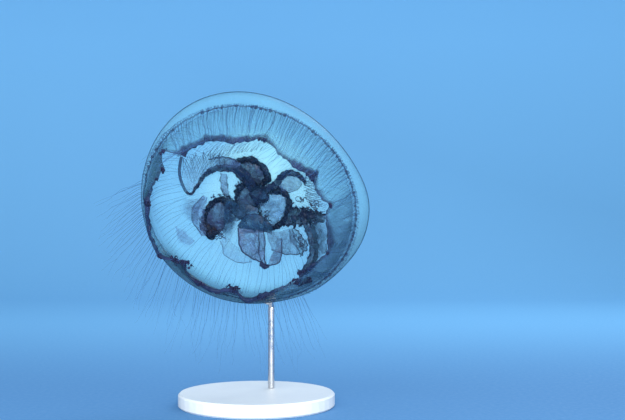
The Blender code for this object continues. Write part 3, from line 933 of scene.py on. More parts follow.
# ------------------------------------------------------------------ bell and margin
@dataclass
class BellSkin:
    """The one clear skin of crown, shoulder, margin and roof."""

    form: BellForm
    columns: int = 420
    crown_rows: int = 48
    shoulder_rows: int = 8
    lobe_rows: int = 22
    roll_rows: int = 8
    roof_rows: int = 22
    step: float = 0.0007
    wall: float = 0.0022
    edge_thin: float = 0.0010
    edge_stout: float = 0.0020
    curl_stout: float = 0.0009
    flare: float = 1.15
    belly: float = 0.0016
    mottle_scale: float = 75.0
    mottle_depth: float = 0.75
    # pale blue of the jelly, made paler as a painted glow of light through the crown
    crown_tint_and_glow: Colour = (0.30, 0.80, 1.00)
    crown_veil: float = 0.16
    shoulder_tint: Colour = (0.135, 0.34, 0.46)
    # painted shade: darker tint of the shoulder on its lowest side and, less, to the right
    shaded_shoulder: Colour = (0.028, 0.088, 0.130)
    shoulder_veil: float = 0.33
    band_tint: Colour = (0.075, 0.24, 0.36)
    band_veil: float = 0.24
    edge_tint: Colour = (0.013, 0.024, 0.066)
    bruise_tint: Colour = (0.024, 0.036, 0.100)
    # painted light: pale tint of the roof, a glow of light passing through it
    roof_glow_tint: Colour = (0.40, 0.85, 1.00)
    low_stretch: Stretch = (44.0, 60.0, 122.0, 136.0)
    right_stretch: Stretch = (-48.0, -4.0, 44.0, 60.0)
    shoulder_stretch: Stretch = (-48.0, 30.0, 44.0, 60.0)
    left_rise: Span = (148.0, 172.0)
    left_fall: Span = (-162.0, -150.0)
    # painted shade: how much of it the shoulder takes to the right, and how much denser its
    # shaded parts are
    shoulder_shade_share: float = 0.6
    shade_veil: float = 0.28
    # painted shade on the right, lowest and left sides of the margin wall: tint and veil
    shade_right: tuple[Colour, float] = ((0.030, 0.085, 0.150), 0.54)
    shade_low: tuple[Colour, float] = ((0.018, 0.052, 0.090), 0.70)
    shade_left: tuple[Colour, float] = ((0.020, 0.085, 0.135), 0.54)
    thickness_waves: Waves = ((0.00035, 31.0, 0.4), (0.0003, 57.0, 2.0), (0.0003, 83.0, 1.0))
    frill_waves: Waves = ((0.0006, 19.0, 0.0), (0.0005, 33.0, 1.1), (0.0003, 71.0, 0.5))
    pleat_waves: Waves = ((0.00012, 150.0, 0.0), (0.0004, 41.0, 0.9))
    ragged_waves: Waves = ((0.016, 13.0, 0.3), (0.012, 29.0, 1.9), (0.012, 67.0, 0.2))
    stripe_waves: Waves = ((0.07, 151.0, 0.0), (0.05, 97.0, 1.0))
    bruise_waves: Waves = ((0.6, 9.0, 0.7), (0.5, 17.0, 2.1))
    rows: list[tuple[Array, Array, Array]] = field(default_factory=list)

    def edge_thickness(self, azimuth: Array) -> Array:
        """Thickness of the rolled free edge, stouter where it curls."""
        return (self.edge_thin + self.edge_stout * self.form.edge_body(azimuth)
                + ripple(azimuth, self.thickness_waves)
                + self.curl_stout * self.form.curling(azimuth))

    def low_side(self, azimuth: Array) -> Array:
        """1 along the lowest side of the bell, 0 elsewhere."""
        return between(degrees_from(azimuth), *self.low_stretch)

    def wall_tone(self, azimuth: Array) -> tuple[Array, Array]:
        """Tone of the margin's wall, with painted shade to the right, below and to the left.

        Args:
            azimuth: angles about the axis.

        Returns:
            Tint and veil at each angle.
        """
        turned = degrees_from(azimuth)
        left = ramp(*self.left_rise, turned) + 1.0 - ramp(*self.left_fall, turned)
        tint = np.tile(self.band_tint, (len(azimuth), 1))
        veil = np.full(len(azimuth), self.band_veil)
        for share, (tone, depth) in (
                (between(turned, *self.right_stretch), self.shade_right),
                (self.low_side(azimuth), self.shade_low),
                (np.clip(left, 0.0, 1.0), self.shade_left)):
            tint = mix(tint, tone, share[:, None])
            veil = mix(veil, depth, share)
        return tint, veil

    def shoulder_tone(self, azimuth: Array) -> tuple[Array, Array]:
        """Tint and veil of the shoulder, painted shade along its lowest side and less to the
        right.

        Args:
            azimuth: angles about the axis.

        Returns:
            Tint and veil at each angle.
        """
        right = between(degrees_from(azimuth), *self.shoulder_stretch)
        # painted shade on the shoulder's lowest side and to its right
        shade_share = self.low_side(azimuth) + self.shoulder_shade_share * right
        return (mix(self.shoulder_tint, self.shaded_shoulder, shade_share[:, None]),
                self.shoulder_veil + self.shade_veil * shade_share)

    def lobe_row(self, azimuth: Array, down: Number) -> tuple[Array, Array]:
        """Radius and height of a lobe's outer face, whose free edge is gently frilled.

        Args:
            azimuth: angles about the axis.
            down: 0 at the ring, 1 at the free edge.

        Returns:
            Radius and height at each angle.
        """
        top = self.form.ring_outer
        radius = (top + (self.form.edge_reach(azimuth) - top) * down ** self.flare
                  + self.belly * np.sin(math.pi * down))
        pleat = ripple(azimuth, self.pleat_waves)
        radius = radius + pleat * np.sin(math.pi * np.minimum(1.0, down * 0.9 + 0.05))
        edge = ripple(azimuth, self.frill_waves) - self.form.edge_drop
        return radius, mix(-self.form.ring_drop, edge, down)

    def trace(self, azimuth: Array, down: Array, lift: float) -> Array:
        """Points that lie a little off a lobe's outer face."""
        radius, height = self.lobe_row(azimuth, down)
        return polar(radius + lift, azimuth, height)

    def _put(self, azimuth: Array, radius: Number, height: Number, tint: Colour | Array,
             veil: Number) -> None:
        """Keep one row of the skin."""
        self.rows.append((polar(radius, azimuth, height),
                          np.broadcast_to(tint, (len(azimuth), 3)),
                          veil * np.ones_like(azimuth)))

    def _edge_share(self, azimuth: Array, down: float) -> Array:
        """How far the dark of the free edge has set in, ragged along the margin.

        Args:
            azimuth: angles about the axis.
            down: 0 at the ring, 1 at the free edge.

        Returns:
            The share at each angle.
        """
        body = self.form.edge_body(azimuth)
        ragged = (0.985 - 0.065 * body + ripple(azimuth, self.ragged_waves)
                  - 0.06 * self.form.curling(azimuth))
        return ramp(-0.035, 0.03, down - ragged) * np.clip(0.45 + 0.55 * body, 0.0, 1.0)

    def _edge_veil(self, azimuth: Array) -> Array:
        """How dense the free edge is, with its fine stripes."""
        stripe = ripple(azimuth, self.stripe_waves)
        return np.clip(0.46 + 0.38 * self.form.edge_body(azimuth) + stripe, 0.3, 0.93)

    def _crown(self, azimuth: Array) -> None:
        """Rows from the crown to the widest level.

        Args:
            azimuth: angles of the skin's columns.
        """
        swell = self.form.swell(azimuth)
        tint, veil = self.shoulder_tone(azimuth)
        for k in range(1, self.crown_rows + 1):
            turn = QUARTER * (1.0 - k / self.crown_rows) ** 1.25
            share = math.cos(turn)
            outer = float(ramp(0.90, 0.995, share))
            self._put(azimuth, self.form.radius * share * (1.0 + share * swell),
                      self.form.crown * math.sin(turn), mix(self.crown_tint_and_glow, tint, outer),
                      mix(self.crown_veil, veil, outer))

    def _shoulder(self, azimuth: Array) -> None:
        """Rows from the widest level round to the ring.

        Args:
            azimuth: angles of the skin's columns.
        """
        inner = self.form.ring_outer + self.step
        for k in range(1, self.shoulder_rows + 1):
            turn = QUARTER * k / self.shoulder_rows
            radius = inner + (self.form.radius - inner) * math.cos(turn)
            self._put(azimuth, radius * (1.0 + math.cos(turn) * self.form.swell(azimuth)),
                      -self.form.ring_drop * math.sin(turn), *self.shoulder_tone(azimuth))

    def _wall(self, azimuth: Array, down: float, inset: Number, dark: Array) -> None:
        """One row of a lobe's wall, with its mottle and the dark of the edge.

        Args:
            azimuth: angles about the axis.
            down: 0 at the ring, 1 at the free edge.
            inset: how far it lies inside the outer face.
            dark: colour of the free edge at each angle.
        """
        radius, height = self.lobe_row(azimuth, down)
        share = self._edge_share(azimuth, down)
        tint, veil = self.wall_tone(azimuth)
        mottle = blotches(polar(radius, azimuth, height), self.mottle_scale, 2.0)
        mottle = self.mottle_depth * mottle * ramp(0.28, 0.5, veil)
        veil = np.clip(veil * (1.0 + mottle), 0.05, 0.9)
        self._put(azimuth, radius - inset, height, mix(tint, dark, share[:, None]),
                  mix(veil, self._edge_veil(azimuth), share))

    def _lobes(self, azimuth: Array) -> None:
        """Rows down the outside of the lobes, round the free edge and up inside.

        Args:
            azimuth: angles of the skin's columns.
        """
        bruise = ramp(0.1, 0.9, ripple(azimuth, self.bruise_waves))[:, None]
        dark = mix(self.edge_tint, self.bruise_tint, bruise)
        thick = self.edge_thickness(azimuth)
        for k in range(1, self.lobe_rows + 1):
            self._wall(azimuth, k / self.lobe_rows, 0.0, dark)
        reach, height = self.lobe_row(azimuth, 1.0)
        depth = self._edge_veil(azimuth)
        for k in range(1, self.roll_rows + 1):
            turn = math.pi * k / (self.roll_rows + 1)
            self._put(azimuth, reach - 0.5 * thick * (1.0 - math.cos(turn)),
                      height - 0.5 * thick * math.sin(turn), dark, depth)
        for k in range(self.lobe_rows, 0, -1):
            down = k / self.lobe_rows
            inset = self.wall + (thick - self.wall) * ramp(0.8, 1.0, down)
            self._wall(azimuth, down, inset, dark)

    def _roof(self, azimuth: Array) -> None:
        """Rows from the ring up under the roof, with a pale painted glow that is denser on the
        upper side.

        Args:
            azimuth: angles of the skin's columns.
        """
        form = self.form
        self._put(azimuth, form.ring_inner, -form.ring_drop, self.band_tint, 0.25)
        # painted light: share of the upper side, where the roof's pale veil is denser
        lit = ramp(-0.1, 0.9, np.cos(azimuth - form.rim_azimuth))
        for k in range(self.roof_rows):
            turn = QUARTER * k / self.roof_rows
            clear = float(ramp(0.0, 0.40, turn))
            self._put(azimuth, form.roof_radius * math.cos(turn),
                      form.roof_base + form.roof_rise * math.sin(turn),
                      mix(self.band_tint, self.roof_glow_tint, clear),
                      (0.09 + 0.10 * lit * math.cos(turn)) * (0.4 + 0.6 * clear))

    def build(self, finish: Material) -> Piece:
        """Make the skin with its tint and veil.

        Args:
            finish: material of the piece.

        Returns:
            The finished piece.
        """
        azimuth = circle(self.columns)
        self.rows.clear()
        for part in (self._crown, self._shoulder, self._lobes, self._roof):
            part(azimuth)
        rings, tints, veils = (np.array(column) for column in zip(*self.rows))
        poles = ((0.0, 0.0, self.form.crown), (0.0, 0.0, float(self.form.roof_height(0.0))))
        return Weave(self.form).loft(rings, tints, veils, poles).build("bell_skin", finish)


@dataclass
class Canals:
    """Fine dark canals under the roof and in the margin, and the ring canal."""

    form: BellForm
    skin: BellSkin
    tree: StrandTree
    roof_count: int = 132
    band_count: int = 168
    bulb_count: int = 136
    start_radius: float = 0.040
    ring_clear: float = 0.0002
    roof_lift: float = 0.00005
    band_lift: float = 0.00008
    ring_lift: float = 0.0001
    ring_outset: float = 0.0003
    roof_starts: tuple[float, ...] = (0.0, 0.024, 0.012, 0.030)
    roof_leans: tuple[float, ...] = (0.0, 0.8, 0.0, -0.8)
    ring_waves: Waves = ((0.00025, 37.0, 0.0), (0.00030, 137.0, 0.6))

    def roof(self, finish: Material) -> Piece:
        """Canals that run out under the roof and fork towards the ring.

        Args:
            finish: material of the piece.

        Returns:
            The finished piece.
        """
        dice = Seed.ROOF.dice()
        strands = []
        share = np.linspace(0.0, 1.0, 14)
        for k in range(self.roof_count):
            azimuth = TURN * (k + dice.uniform(-0.28, 0.28)) / self.roof_count
            inner = self.start_radius + self.roof_starts[k % 4] * dice.uniform(0.7, 1.2)
            lean = self.roof_leans[k % 4] * TURN / self.roof_count
            radius = inner + (self.form.roof_radius - self.ring_clear - inner) * share
            bend = azimuth - lean * (1.0 - share) ** 2 + 0.008 * np.sin(7.0 * share + k)
            line = polar(radius, bend, self.form.roof_height(radius) - self.roof_lift)
            strands.append((self.form.place(line), dice.uniform(0.7, 1.25)))
        return self.tree.grow("roof_canals", strands, finish, radii=(0.00012, 0.00020),
                              points=14)

    def band(self, finish: Material) -> Piece:
        """Close-set lines down the outside of the margin.

        Args:
            finish: material of the piece.

        Returns:
            The finished piece.
        """
        dice = Seed.BAND.dice()
        strands = []
        share = np.linspace(0.0, 1.0, 12)
        for k in range(self.band_count):
            azimuth = TURN * (k + dice.uniform(-0.3, 0.3)) / self.band_count
            drift = dice.uniform(-0.012, 0.012)
            end = dice.uniform(0.45, 0.97)
            bend = azimuth + drift * share + 0.004 * np.sin(5.0 * share + k)
            line = self.skin.trace(bend, mix(0.02, end, share), self.band_lift)
            strands.append((self.form.place(line), dice.uniform(0.7, 1.3)))
        return self.tree.grow("margin_lines", strands, finish, radii=(0.00024, 0.00010),
                              points=12)

    def ring(self, finish: Material) -> Piece:
        """The canal round the ring, and one half as stout down to each sense organ.

        Args:
            finish: material of the piece.

        Returns:
            The finished piece.
        """
        turn = np.linspace(0.0, TURN, 721)
        radius = self.form.ring_outer + self.ring_outset + ripple(turn, self.ring_waves)
        ring = polar(radius, turn, -self.form.ring_drop - self.ring_clear)
        strands = [(self.form.place(ring), 1.0)]
        share = np.linspace(0.0, 1.0, 12)
        for tack in self.form.tacks:
            if tack.organ:
                bend = math.radians(tack.azimuth) + 0.02 * np.sin(4.0 * share)
                line = self.skin.trace(bend, share, self.ring_lift)
                strands.append((self.form.place(line), 0.5))
        return self.tree.grow("ring_canal", strands, finish, radii=(0.00066, 0.00066),
                              points=720, sides=5)

    def rim(self, finish: Material) -> Piece:
        """The thin dark outline of painted shade round the rim, drawn as a thread."""
        line = self.form.place(self.form.rim_line(np.linspace(0.0, TURN, 361)))
        return self.tree.grow("rim_line", [(line, 1.0)], finish, radii=(0.00040, 0.00040),
                              points=360, sides=6)

    def beads(self, tree: BeadTree, finish: Material) -> Piece:
        """The dark bulbs from which the feelers spring, fewer to the left.

        Args:
            tree: the tree that sets the beads.
            finish: material of the piece.

        Returns:
            The finished piece.
        """
        dice = Seed.BULBS.dice()
        count = self.bulb_count
        turn = TURN * (np.arange(count) + dice.uniform(-0.4, 0.4, count)) / count
        radius = (self.form.ring_outer + self.ring_outset
                  + dice.uniform(-0.0004, 0.0004, count))
        height = -self.form.ring_drop - 0.0005 + dice.uniform(-0.0009, 0.0007, count)
        kept = dice.uniform(0.0, 1.0, count) < 0.45 + 0.6 * ramp(-0.2, 0.6, np.cos(turn))
        spots = self.form.place(polar(radius, turn, height))[kept]
        return tree.scatter("feeler_bulbs", spots, finish, radius=0.00150,
                            shares=(0.40, 1.15), seed=4)


@dataclass
class Fringe:
    """The hair-fine feelers round the ring."""

    form: BellForm
    skin: BellSkin
    tree: StrandTree
    count: int = 300
    points: int = 26
    sides: int = 3
    stream_length: float = 0.067
    shorten: float = 0.026
    drift: float = 0.58
    trail: float = 0.53
    clear: float = 0.0009
    streaming: Stretch = (34.0, 50.0, 163.0, 184.0)
    upper_left: Stretch = (-170.0, -150.0, -88.0, -40.0)
    root_out: float = 0.0008
    shoulder_out: float = 0.0026
    lobe_out: float = 0.0020
    edge_length: float = 0.007
    upper_length: float = 0.014
    beyond: Point = (-0.50, 0.62, -0.42)
    sag: Point = (-0.004, 0.007, 0.0)

    def path(self, azimuth: float, dice: Dice) -> Array:
        """Points of one feeler, from its bulb to its curled tip.

        Args:
            azimuth: where it springs from the ring.
            dice: source of its small differences.

        Returns:
            Points in the bell's frame.
        """
        degrees = math.degrees(azimuth) % 360.0
        root = polar(self.form.ring_outer + self.root_out, azimuth,
                     -self.form.ring_drop - self.root_out - dice.uniform(0.0, 0.0010))
        if between(degrees, *self.streaming) < 0.5:
            return self._over_edge(azimuth, root, dice)
        radial = np.array((math.cos(azimuth), math.sin(azimuth), 0.0))
        around = np.array((-math.sin(azimuth), math.cos(azimuth), 0.0))
        drift = self.drift * (0.3 + 0.7 * float(ramp(60.0, 135.0, degrees)))
        stream = radial + np.array((drift, 0.09, -self.trail))
        heading = unit(unit(stream) + around * dice.normal(0.0, 0.075)
                       + radial * dice.normal(0.0, 0.05))
        length = self.stream_length - self.shorten * float(ramp(95.0, 175.0, degrees))
        length *= dice.uniform(0.62, 1.06)
        share = np.linspace(0.0, 1.0, 16)[:, None]
        out = radial * (self.shoulder_out * np.clip(share * 14.0, 0.0, 1.0))
        curl = dice.normal(0.0, 0.0045) * share ** 2 + dice.normal(0.0, 0.0060) * share ** 6
        sag = np.array(self.sag) * share ** 2 * float(ramp(110.0, 150.0, degrees))
        return root + out + heading * (length * share) + np.cross(heading, radial) * curl + sag

    def _over_edge(self, azimuth: float, root: Array, dice: Dice) -> Array:
        """A feeler that lies down a lobe, passes its free edge and bends away beyond it.

        Args:
            azimuth: where it springs from the ring.
            root: its first point.
            dice: source of its small differences.

        Returns:
            Points in the bell's frame.
        """
        bend = azimuth + dice.normal(0.0, 0.012)
        middle, past = self.skin.trace(np.full(2, bend), np.array((0.5, 1.0)), self.clear)
        past = past - 0.0030 * UP
        heading = unit(np.array(self.beyond) + dice.normal(0.0, 0.08, 3))
        top = float(between(degrees_from(azimuth), *self.upper_left))
        length = (self.edge_length + self.upper_length * top) * dice.uniform(0.6, 1.25)
        start = root + polar(self.lobe_out, azimuth, 0.0)
        return spline((root, start, middle, past, past + heading * length * 0.5 - 0.001 * UP,
                       past + heading * length), 16)

    def build(self, finish: Material) -> Piece:
        """All the feelers as one piece, each with a small patch of the map at its root.

        Args:
            finish: material of the piece.

        Returns:
            The finished piece.
        """
        dice = Seed.FEELERS.dice()
        strands = []
        roots = []
        for k in range(self.count):
            azimuth = TURN * (k + dice.uniform(-0.35, 0.35)) / self.count
            line = self.form.place(self.path(azimuth, dice))
            stout = 1.45 if dice.uniform() < 0.08 or math.sin(azimuth) < -0.4 else 1.0
            strands.append((line, dice.uniform(0.55, 1.15) * stout))
            roots.append((0.03 + 0.94 * (k + 0.5) / self.count, 0.42 + 0.16 * (k % 3)))
        piece = self.tree.grow("feeler_fringe", strands, finish, radii=(0.00027, 0.00011),
                               points=self.points, sides=self.sides, wander=(0.012, 48.0),
                               seed=3.0)
        self.map_patches(piece.data, np.array(roots))
        return piece

    def map_patches(self, mesh: bpy.types.Mesh, roots: Array, size: float = 0.003) -> None:
        """Unwrap the feelers into small patches, each at its root's place on the map.

        Args:
            mesh: the feelers as the strand tree grew them.
            roots: place of each feeler's root on the map.
            size: width of a patch.
        """
        corner = whole_numbers(mesh.loops, "vertex_index")
        total = whole_numbers(mesh.polygons, "loop_total")
        face = np.repeat(np.arange(len(total)), total)
        side = corner % self.sides
        low = np.full(len(total), self.sides)
        high = np.zeros(len(total), dtype=np.int64)
        np.minimum.at(low, face, side)
        np.maximum.at(high, face, side)
        wraps = ((high - low) == self.sides - 1)[face] & (side == 0) & (total[face] == 4)
        across = np.where(wraps, self.sides, side) / self.sides
        along = (corner // self.sides % self.points) / (self.points - 1)
        place = roots[corner // (self.sides * self.points)]
        spots = place + (np.stack((across, along), axis=1) - 0.5) * size
        layer = mesh.uv_layers.new(name="OFBake")
        layer.data.foreach_set("uv", spots.astype(np.float32).ravel())


def whole_numbers(items: bpy.types.bpy_prop_collection, name: str) -> Array:
    """One whole number from each item of a mesh."""
    values = np.zeros(len(items), dtype=np.int64)
    items.foreach_get(name, values)
    return values


@dataclass
class SenseOrgans:
    """The dark organs in the notches of the margin, and the curled folds between them."""

    form: BellForm
    skin: BellSkin
    radius: float = 0.0011
    lumps: float = 700.0
    curl_depth: float = 0.0034
    curl_width: float = 0.0019
    inset: float = 0.0008
    drop: float = 0.0010

    def cluster(self, tack: Tack, dice: Dice) -> Array:
        """Places of the small bodies that make up one curl, the first on the edge.

        Args:
            tack: the place on the free edge.
            dice: source of their scatter.

        Returns:
            Points in the room.
        """
        azimuth = math.radians(tack.azimuth)
        reach, height = (float(value[0])
                         for value in self.skin.lobe_row(np.array([azimuth]), 1.0))
        count = 1 + round(5.0 * tack.curl)
        inward = self.curl_depth * tack.curl * dice.uniform(0.0, 1.0, count) ** 0.8
        aside = self.curl_width * (0.6 + tack.curl) * dice.normal(0.0, 0.8, count)
        inward[0] = aside[0] = 0.0
        return self.form.place(polar(reach - self.inset - inward, azimuth + aside / reach,
                                     height - self.drop - 0.35 * inward))

    def build(self, finish: Material) -> Piece:
        """All of them as one piece of small lumpy bodies.

        Args:
            finish: material of the piece.

        Returns:
            The finished piece.
        """
        dice = Seed.ORGANS.dice()
        work = bmesh.new()
        for index, tack in enumerate(self.form.tacks):
            if not (tack.organ or tack.curl > 0.0):
                continue
            for number, centre in enumerate(self.cluster(tack, dice)):
                size = self.radius * (1.25 if number == 0 else dice.uniform(0.75, 1.35))
                made = bmesh.ops.create_icosphere(work, subdivisions=2, radius=size)
                shift = Vector((index * 3.1, number * 1.7, 0.0))
                for vert in made["verts"]:
                    lump = noise.fractal(vert.co * self.lumps + shift, 0.8, 2.0, 2)
                    vert.co = vert.co * (1.0 + 0.45 * lump) + Vector(centre)
        mesh = bpy.data.meshes.new("sense_organs")
        work.to_mesh(mesh)
        work.free()
        mesh.shade_smooth()
        mesh.materials.append(finish)
        return link(mesh)

    def frills(self, tree: StrandTree, finish: Material) -> Piece:
        """Ragged threads that loop out of every curl.

        Args:
            tree: the tree that draws the threads.
            finish: material of the piece.

        Returns:
            The finished piece.
        """
        dice = Seed.FRILLS.dice()
        strands = []
        for tack in self.form.tacks:
            if tack.curl < 0.5:
                continue
            for spot in self.cluster(tack, dice):
                ring = loose_loop(dice, (2.5, 5.0), 12)
                size = dice.uniform(0.0007, 0.0014) * (0.7 + 0.3 * tack.curl)
                strands.append((spot + ring * size, 1.0))
        return tree.grow("edge_frills", strands, finish, radii=(0.00036, 0.00026), points=12)


# ------------------------------------------------------------------ organs
DARK: Colour = (0.006, 0.016, 0.042)
SMOKE: Colour = (0.018, 0.055, 0.115)
MAUVE: Colour = (0.062, 0.118, 0.235)
HAZE: Colour = (0.100, 0.200, 0.360)


def lined(front: Array, rear: Array) -> Array:
    """Rows out over the front of a shell and home over its rear."""
    return np.concatenate((front, rear[::-1]))


@dataclass(frozen=True)
class GonadPlan:
    """One frilled horseshoe and the thin pouch it borders."""

    name: str
    seed: float
    centre: Span
    half: Span
    opening: float
    gap_angle: float
    pouch_veil: float
    pouch_tint: Colour
    lift: float
    heavy: Span = (0.0, 0.0)
    warm: float = 0.0


@dataclass
class Gonads:
    """The four frilled gonads under the stomach floor."""

    form: BellForm
    tube: float = 0.0029
    steps: int = 240
    sides: int = 20
    stomach_radius: float = 0.0660
    film: float = 0.0005
    lens_gap: float = 0.0012
    lens_border: float = 0.0016
    lens_depth: float = 0.0109
    pouch_dome: float = 0.0040
    frill_grain: Span = (0.0007, 240.0)
    pouch_grain: Span = (0.0016, 130.0)
    dark: Colour = (0.005, 0.013, 0.034)
    spot: Colour = (0.012, 0.030, 0.066)
    warm_spot: Colour = (0.026, 0.020, 0.024)
    plans: tuple[GonadPlan, ...] = (
        GonadPlan("gonad_upper", 1.0, (-0.0103, -0.0184), (0.0152, 0.0117), 110.0, 105.0,
                  0.86, (0.032, 0.060, 0.112), 0.0, (0.0, 0.20)),
        GonadPlan("gonad_right", 4.7, (0.0200, 0.0050), (0.0124, 0.0190), 185.0, 38.0,
                  0.46, (0.11, 0.25, 0.42), 0.0045, (20.0, 0.0)),
        GonadPlan("gonad_centre", 8.4, (-0.0047, 0.0055), (0.0109, 0.0155), 100.0, 100.0,
                  0.76, (0.028, 0.055, 0.105), 0.0025, (200.0, 0.30)),
        GonadPlan("gonad_left", 12.1, (-0.0258, 0.0336), (0.0104, 0.0170), 8.0, 88.0,
                  0.72, (0.036, 0.060, 0.128), 0.0015, (104.0, 1.55), 1.0),
    )

    def floor(self, radius: Array) -> Array:
        """Height of the stomach floor."""
        share = np.clip(1.0 - (radius / self.stomach_radius) ** 2, 0.0, 1.0)
        depth = self.lens_border + self.lens_depth * share
        return self.form.roof_height(radius) - self.lens_gap - depth

    def border(self, plan: GonadPlan, turn: Array) -> Array:
        """Points along the middle of a horseshoe.

        Args:
            plan: the horseshoe's place and size.
            turn: angles about its middle.

        Returns:
            One point for each angle.
        """
        wave = (1.0 + 0.04 * np.sin(3.0 * turn + plan.seed)
                + 0.025 * np.sin(17.0 * turn + plan.seed))
        x = plan.centre[0] + plan.half[0] * wave * np.cos(turn)
        y = plan.centre[1] + plan.half[1] * wave * np.sin(turn)
        height = self.floor(np.hypot(x, y)) - self.tube - self.lens_gap - plan.lift
        return np.stack((x, y, height), axis=-1)

    def arc(self, plan: GonadPlan, count: int, spare: float = 0.0) -> Array:
        """Angles round a horseshoe from one end to the other."""
        gap = math.radians(plan.gap_angle) * 0.5 + spare
        start = math.radians(plan.opening)
        return np.linspace(start + gap, start + TURN - gap, count)

    def girth(self, plan: GonadPlan, turn: Array, folds: Array) -> Array:
        """Radius along a horseshoe, finer at its ends and stouter on its heavy side.

        Args:
            plan: the horseshoe's place and size.
            turn: angles about its middle.
            folds: noise at each angle.

        Returns:
            The radius at each angle.
        """
        share = np.linspace(0.0, 1.0, len(turn))
        size = self.tube * (0.20 + 0.80 * ramp(0.0, 0.16, np.minimum(share, 1.0 - share)))
        size = size * np.clip(0.88 + 0.30 * folds + 0.06 * np.sin(37.0 * turn), 0.5, 1.25)
        side, stouter = plan.heavy
        return size * (1.0 + stouter * bump(degrees_from(turn, side), 0.0, 42.0))

    def horseshoe(self, plan: GonadPlan, finish: Material) -> Piece:
        """One frilled horseshoe.

        Args:
            plan: the horseshoe's place and size.
            finish: material of the piece.

        Returns:
            The finished piece.
        """
        seed = plan.seed
        turn = self.arc(plan, self.steps)
        centre = self.border(plan, turn)
        size = self.girth(plan, turn, blotches(centre, 260.0, seed))
        tangent = unit(np.gradient(centre, axis=0))
        side = unit(np.cross(tangent, UP))
        up = np.cross(side, tangent)
        angle = circle(self.sides)
        lobed = 1.0 + 0.16 * np.sin(3.0 * angle + 7.0 * turn[:, None] + seed)
        reach = size[:, None] * lobed
        rings = (centre[:, None] + side[:, None] * (reach * np.cos(angle))[..., None]
                 + up[:, None] * (reach * np.sin(angle))[..., None])
        rings = jitter(rings, *self.frill_grain, seed)
        blotch = ramp(0.05, 0.75, blotches(rings, 120.0, seed))[..., None]
        tint = mix(self.dark, mix(self.spot, self.warm_spot, plan.warm), blotch)
        veil = np.clip(0.84 + 0.30 * blotches(rings, 170.0, seed + 2.0), 0.60, 0.96)
        weave = Weave(self.form).loft(rings, tint, veil, (centre[0], centre[-1]))
        return weave.build(f"{plan.name}_frill", finish)

    def pouch(self, plan: GonadPlan, finish: Material) -> Piece:
        """The thin wrinkled film inside a horseshoe, domed towards the mouth.

        Args:
            plan: the horseshoe's place and size.
            finish: material of the piece.

        Returns:
            The finished piece.
        """
        seed = plan.seed
        turn = circle(96)[None, :]
        out = np.linspace(0.04, 1.0, 24)[:, None]
        rim = self.border(plan, turn)
        middle = np.array((*plan.centre, float(rim[..., 2].mean())))
        front = middle + (rim - middle) * out[..., None]
        wrinkle = 0.0005 * np.sin(9.0 * turn + 6.0 * out + seed) * out * (1.2 - out)
        front[..., 2] -= self.pouch_dome * (1.0 - out ** 2.5) + wrinkle
        front = jitter(front, *self.pouch_grain, seed)
        rear = front + self.film * UP
        streak = 0.5 + 0.5 * np.sin(7.0 * turn + 4.0 * out + 2.0 * np.sin(3.0 * turn + seed))
        patch = blotches(front, 95.0, seed + 4.0)
        veil = plan.pouch_veil * (0.72 + 0.22 * out ** 4 + 0.14 * streak + 0.35 * patch)
        veil = np.clip(veil * (1.0 - 0.85 * ramp(0.97, 1.0, out)), 0.02, 0.95)
        weave = Weave(self.form).loft(lined(front, rear), plan.pouch_tint, lined(veil, veil),
                                      (front[0].mean(axis=0), rear[0].mean(axis=0)))
        return weave.build(f"{plan.name}_pouch", finish)

    def filaments(self, tree: StrandTree, finish: Material) -> Piece:
        """Short curly filaments along the inner side of every horseshoe.

        Args:
            tree: the tree that draws the threads.
            finish: material of the piece.

        Returns:
            The finished piece.
        """
        dice = Seed.FILAMENTS.dice()
        strands = []
        for plan in self.plans:
            turns = self.arc(plan, 40, -0.4)
            for root, turn in zip(self.border(plan, turns), turns):
                inward = unit(np.array((-math.cos(turn), -math.sin(turn), -0.5))
                              + dice.normal(0.0, 0.45, 3))
                size = dice.uniform(0.0006, 0.0014)
                sweep = np.linspace(0.0, dice.uniform(2.0, 5.5), 12)
                line = (root + inward * (0.0016 + 0.3 * size * sweep[:, None])
                        + loop(sweep, inward, np.cross(inward, UP)) * size)
                strands.append((self.form.place(line), dice.uniform(0.6, 1.3)))
        return tree.grow("gastric_filaments", strands, finish, radii=(0.00028, 0.00016),
                         points=12, wander=(0.0016, 230.0), seed=9.0)


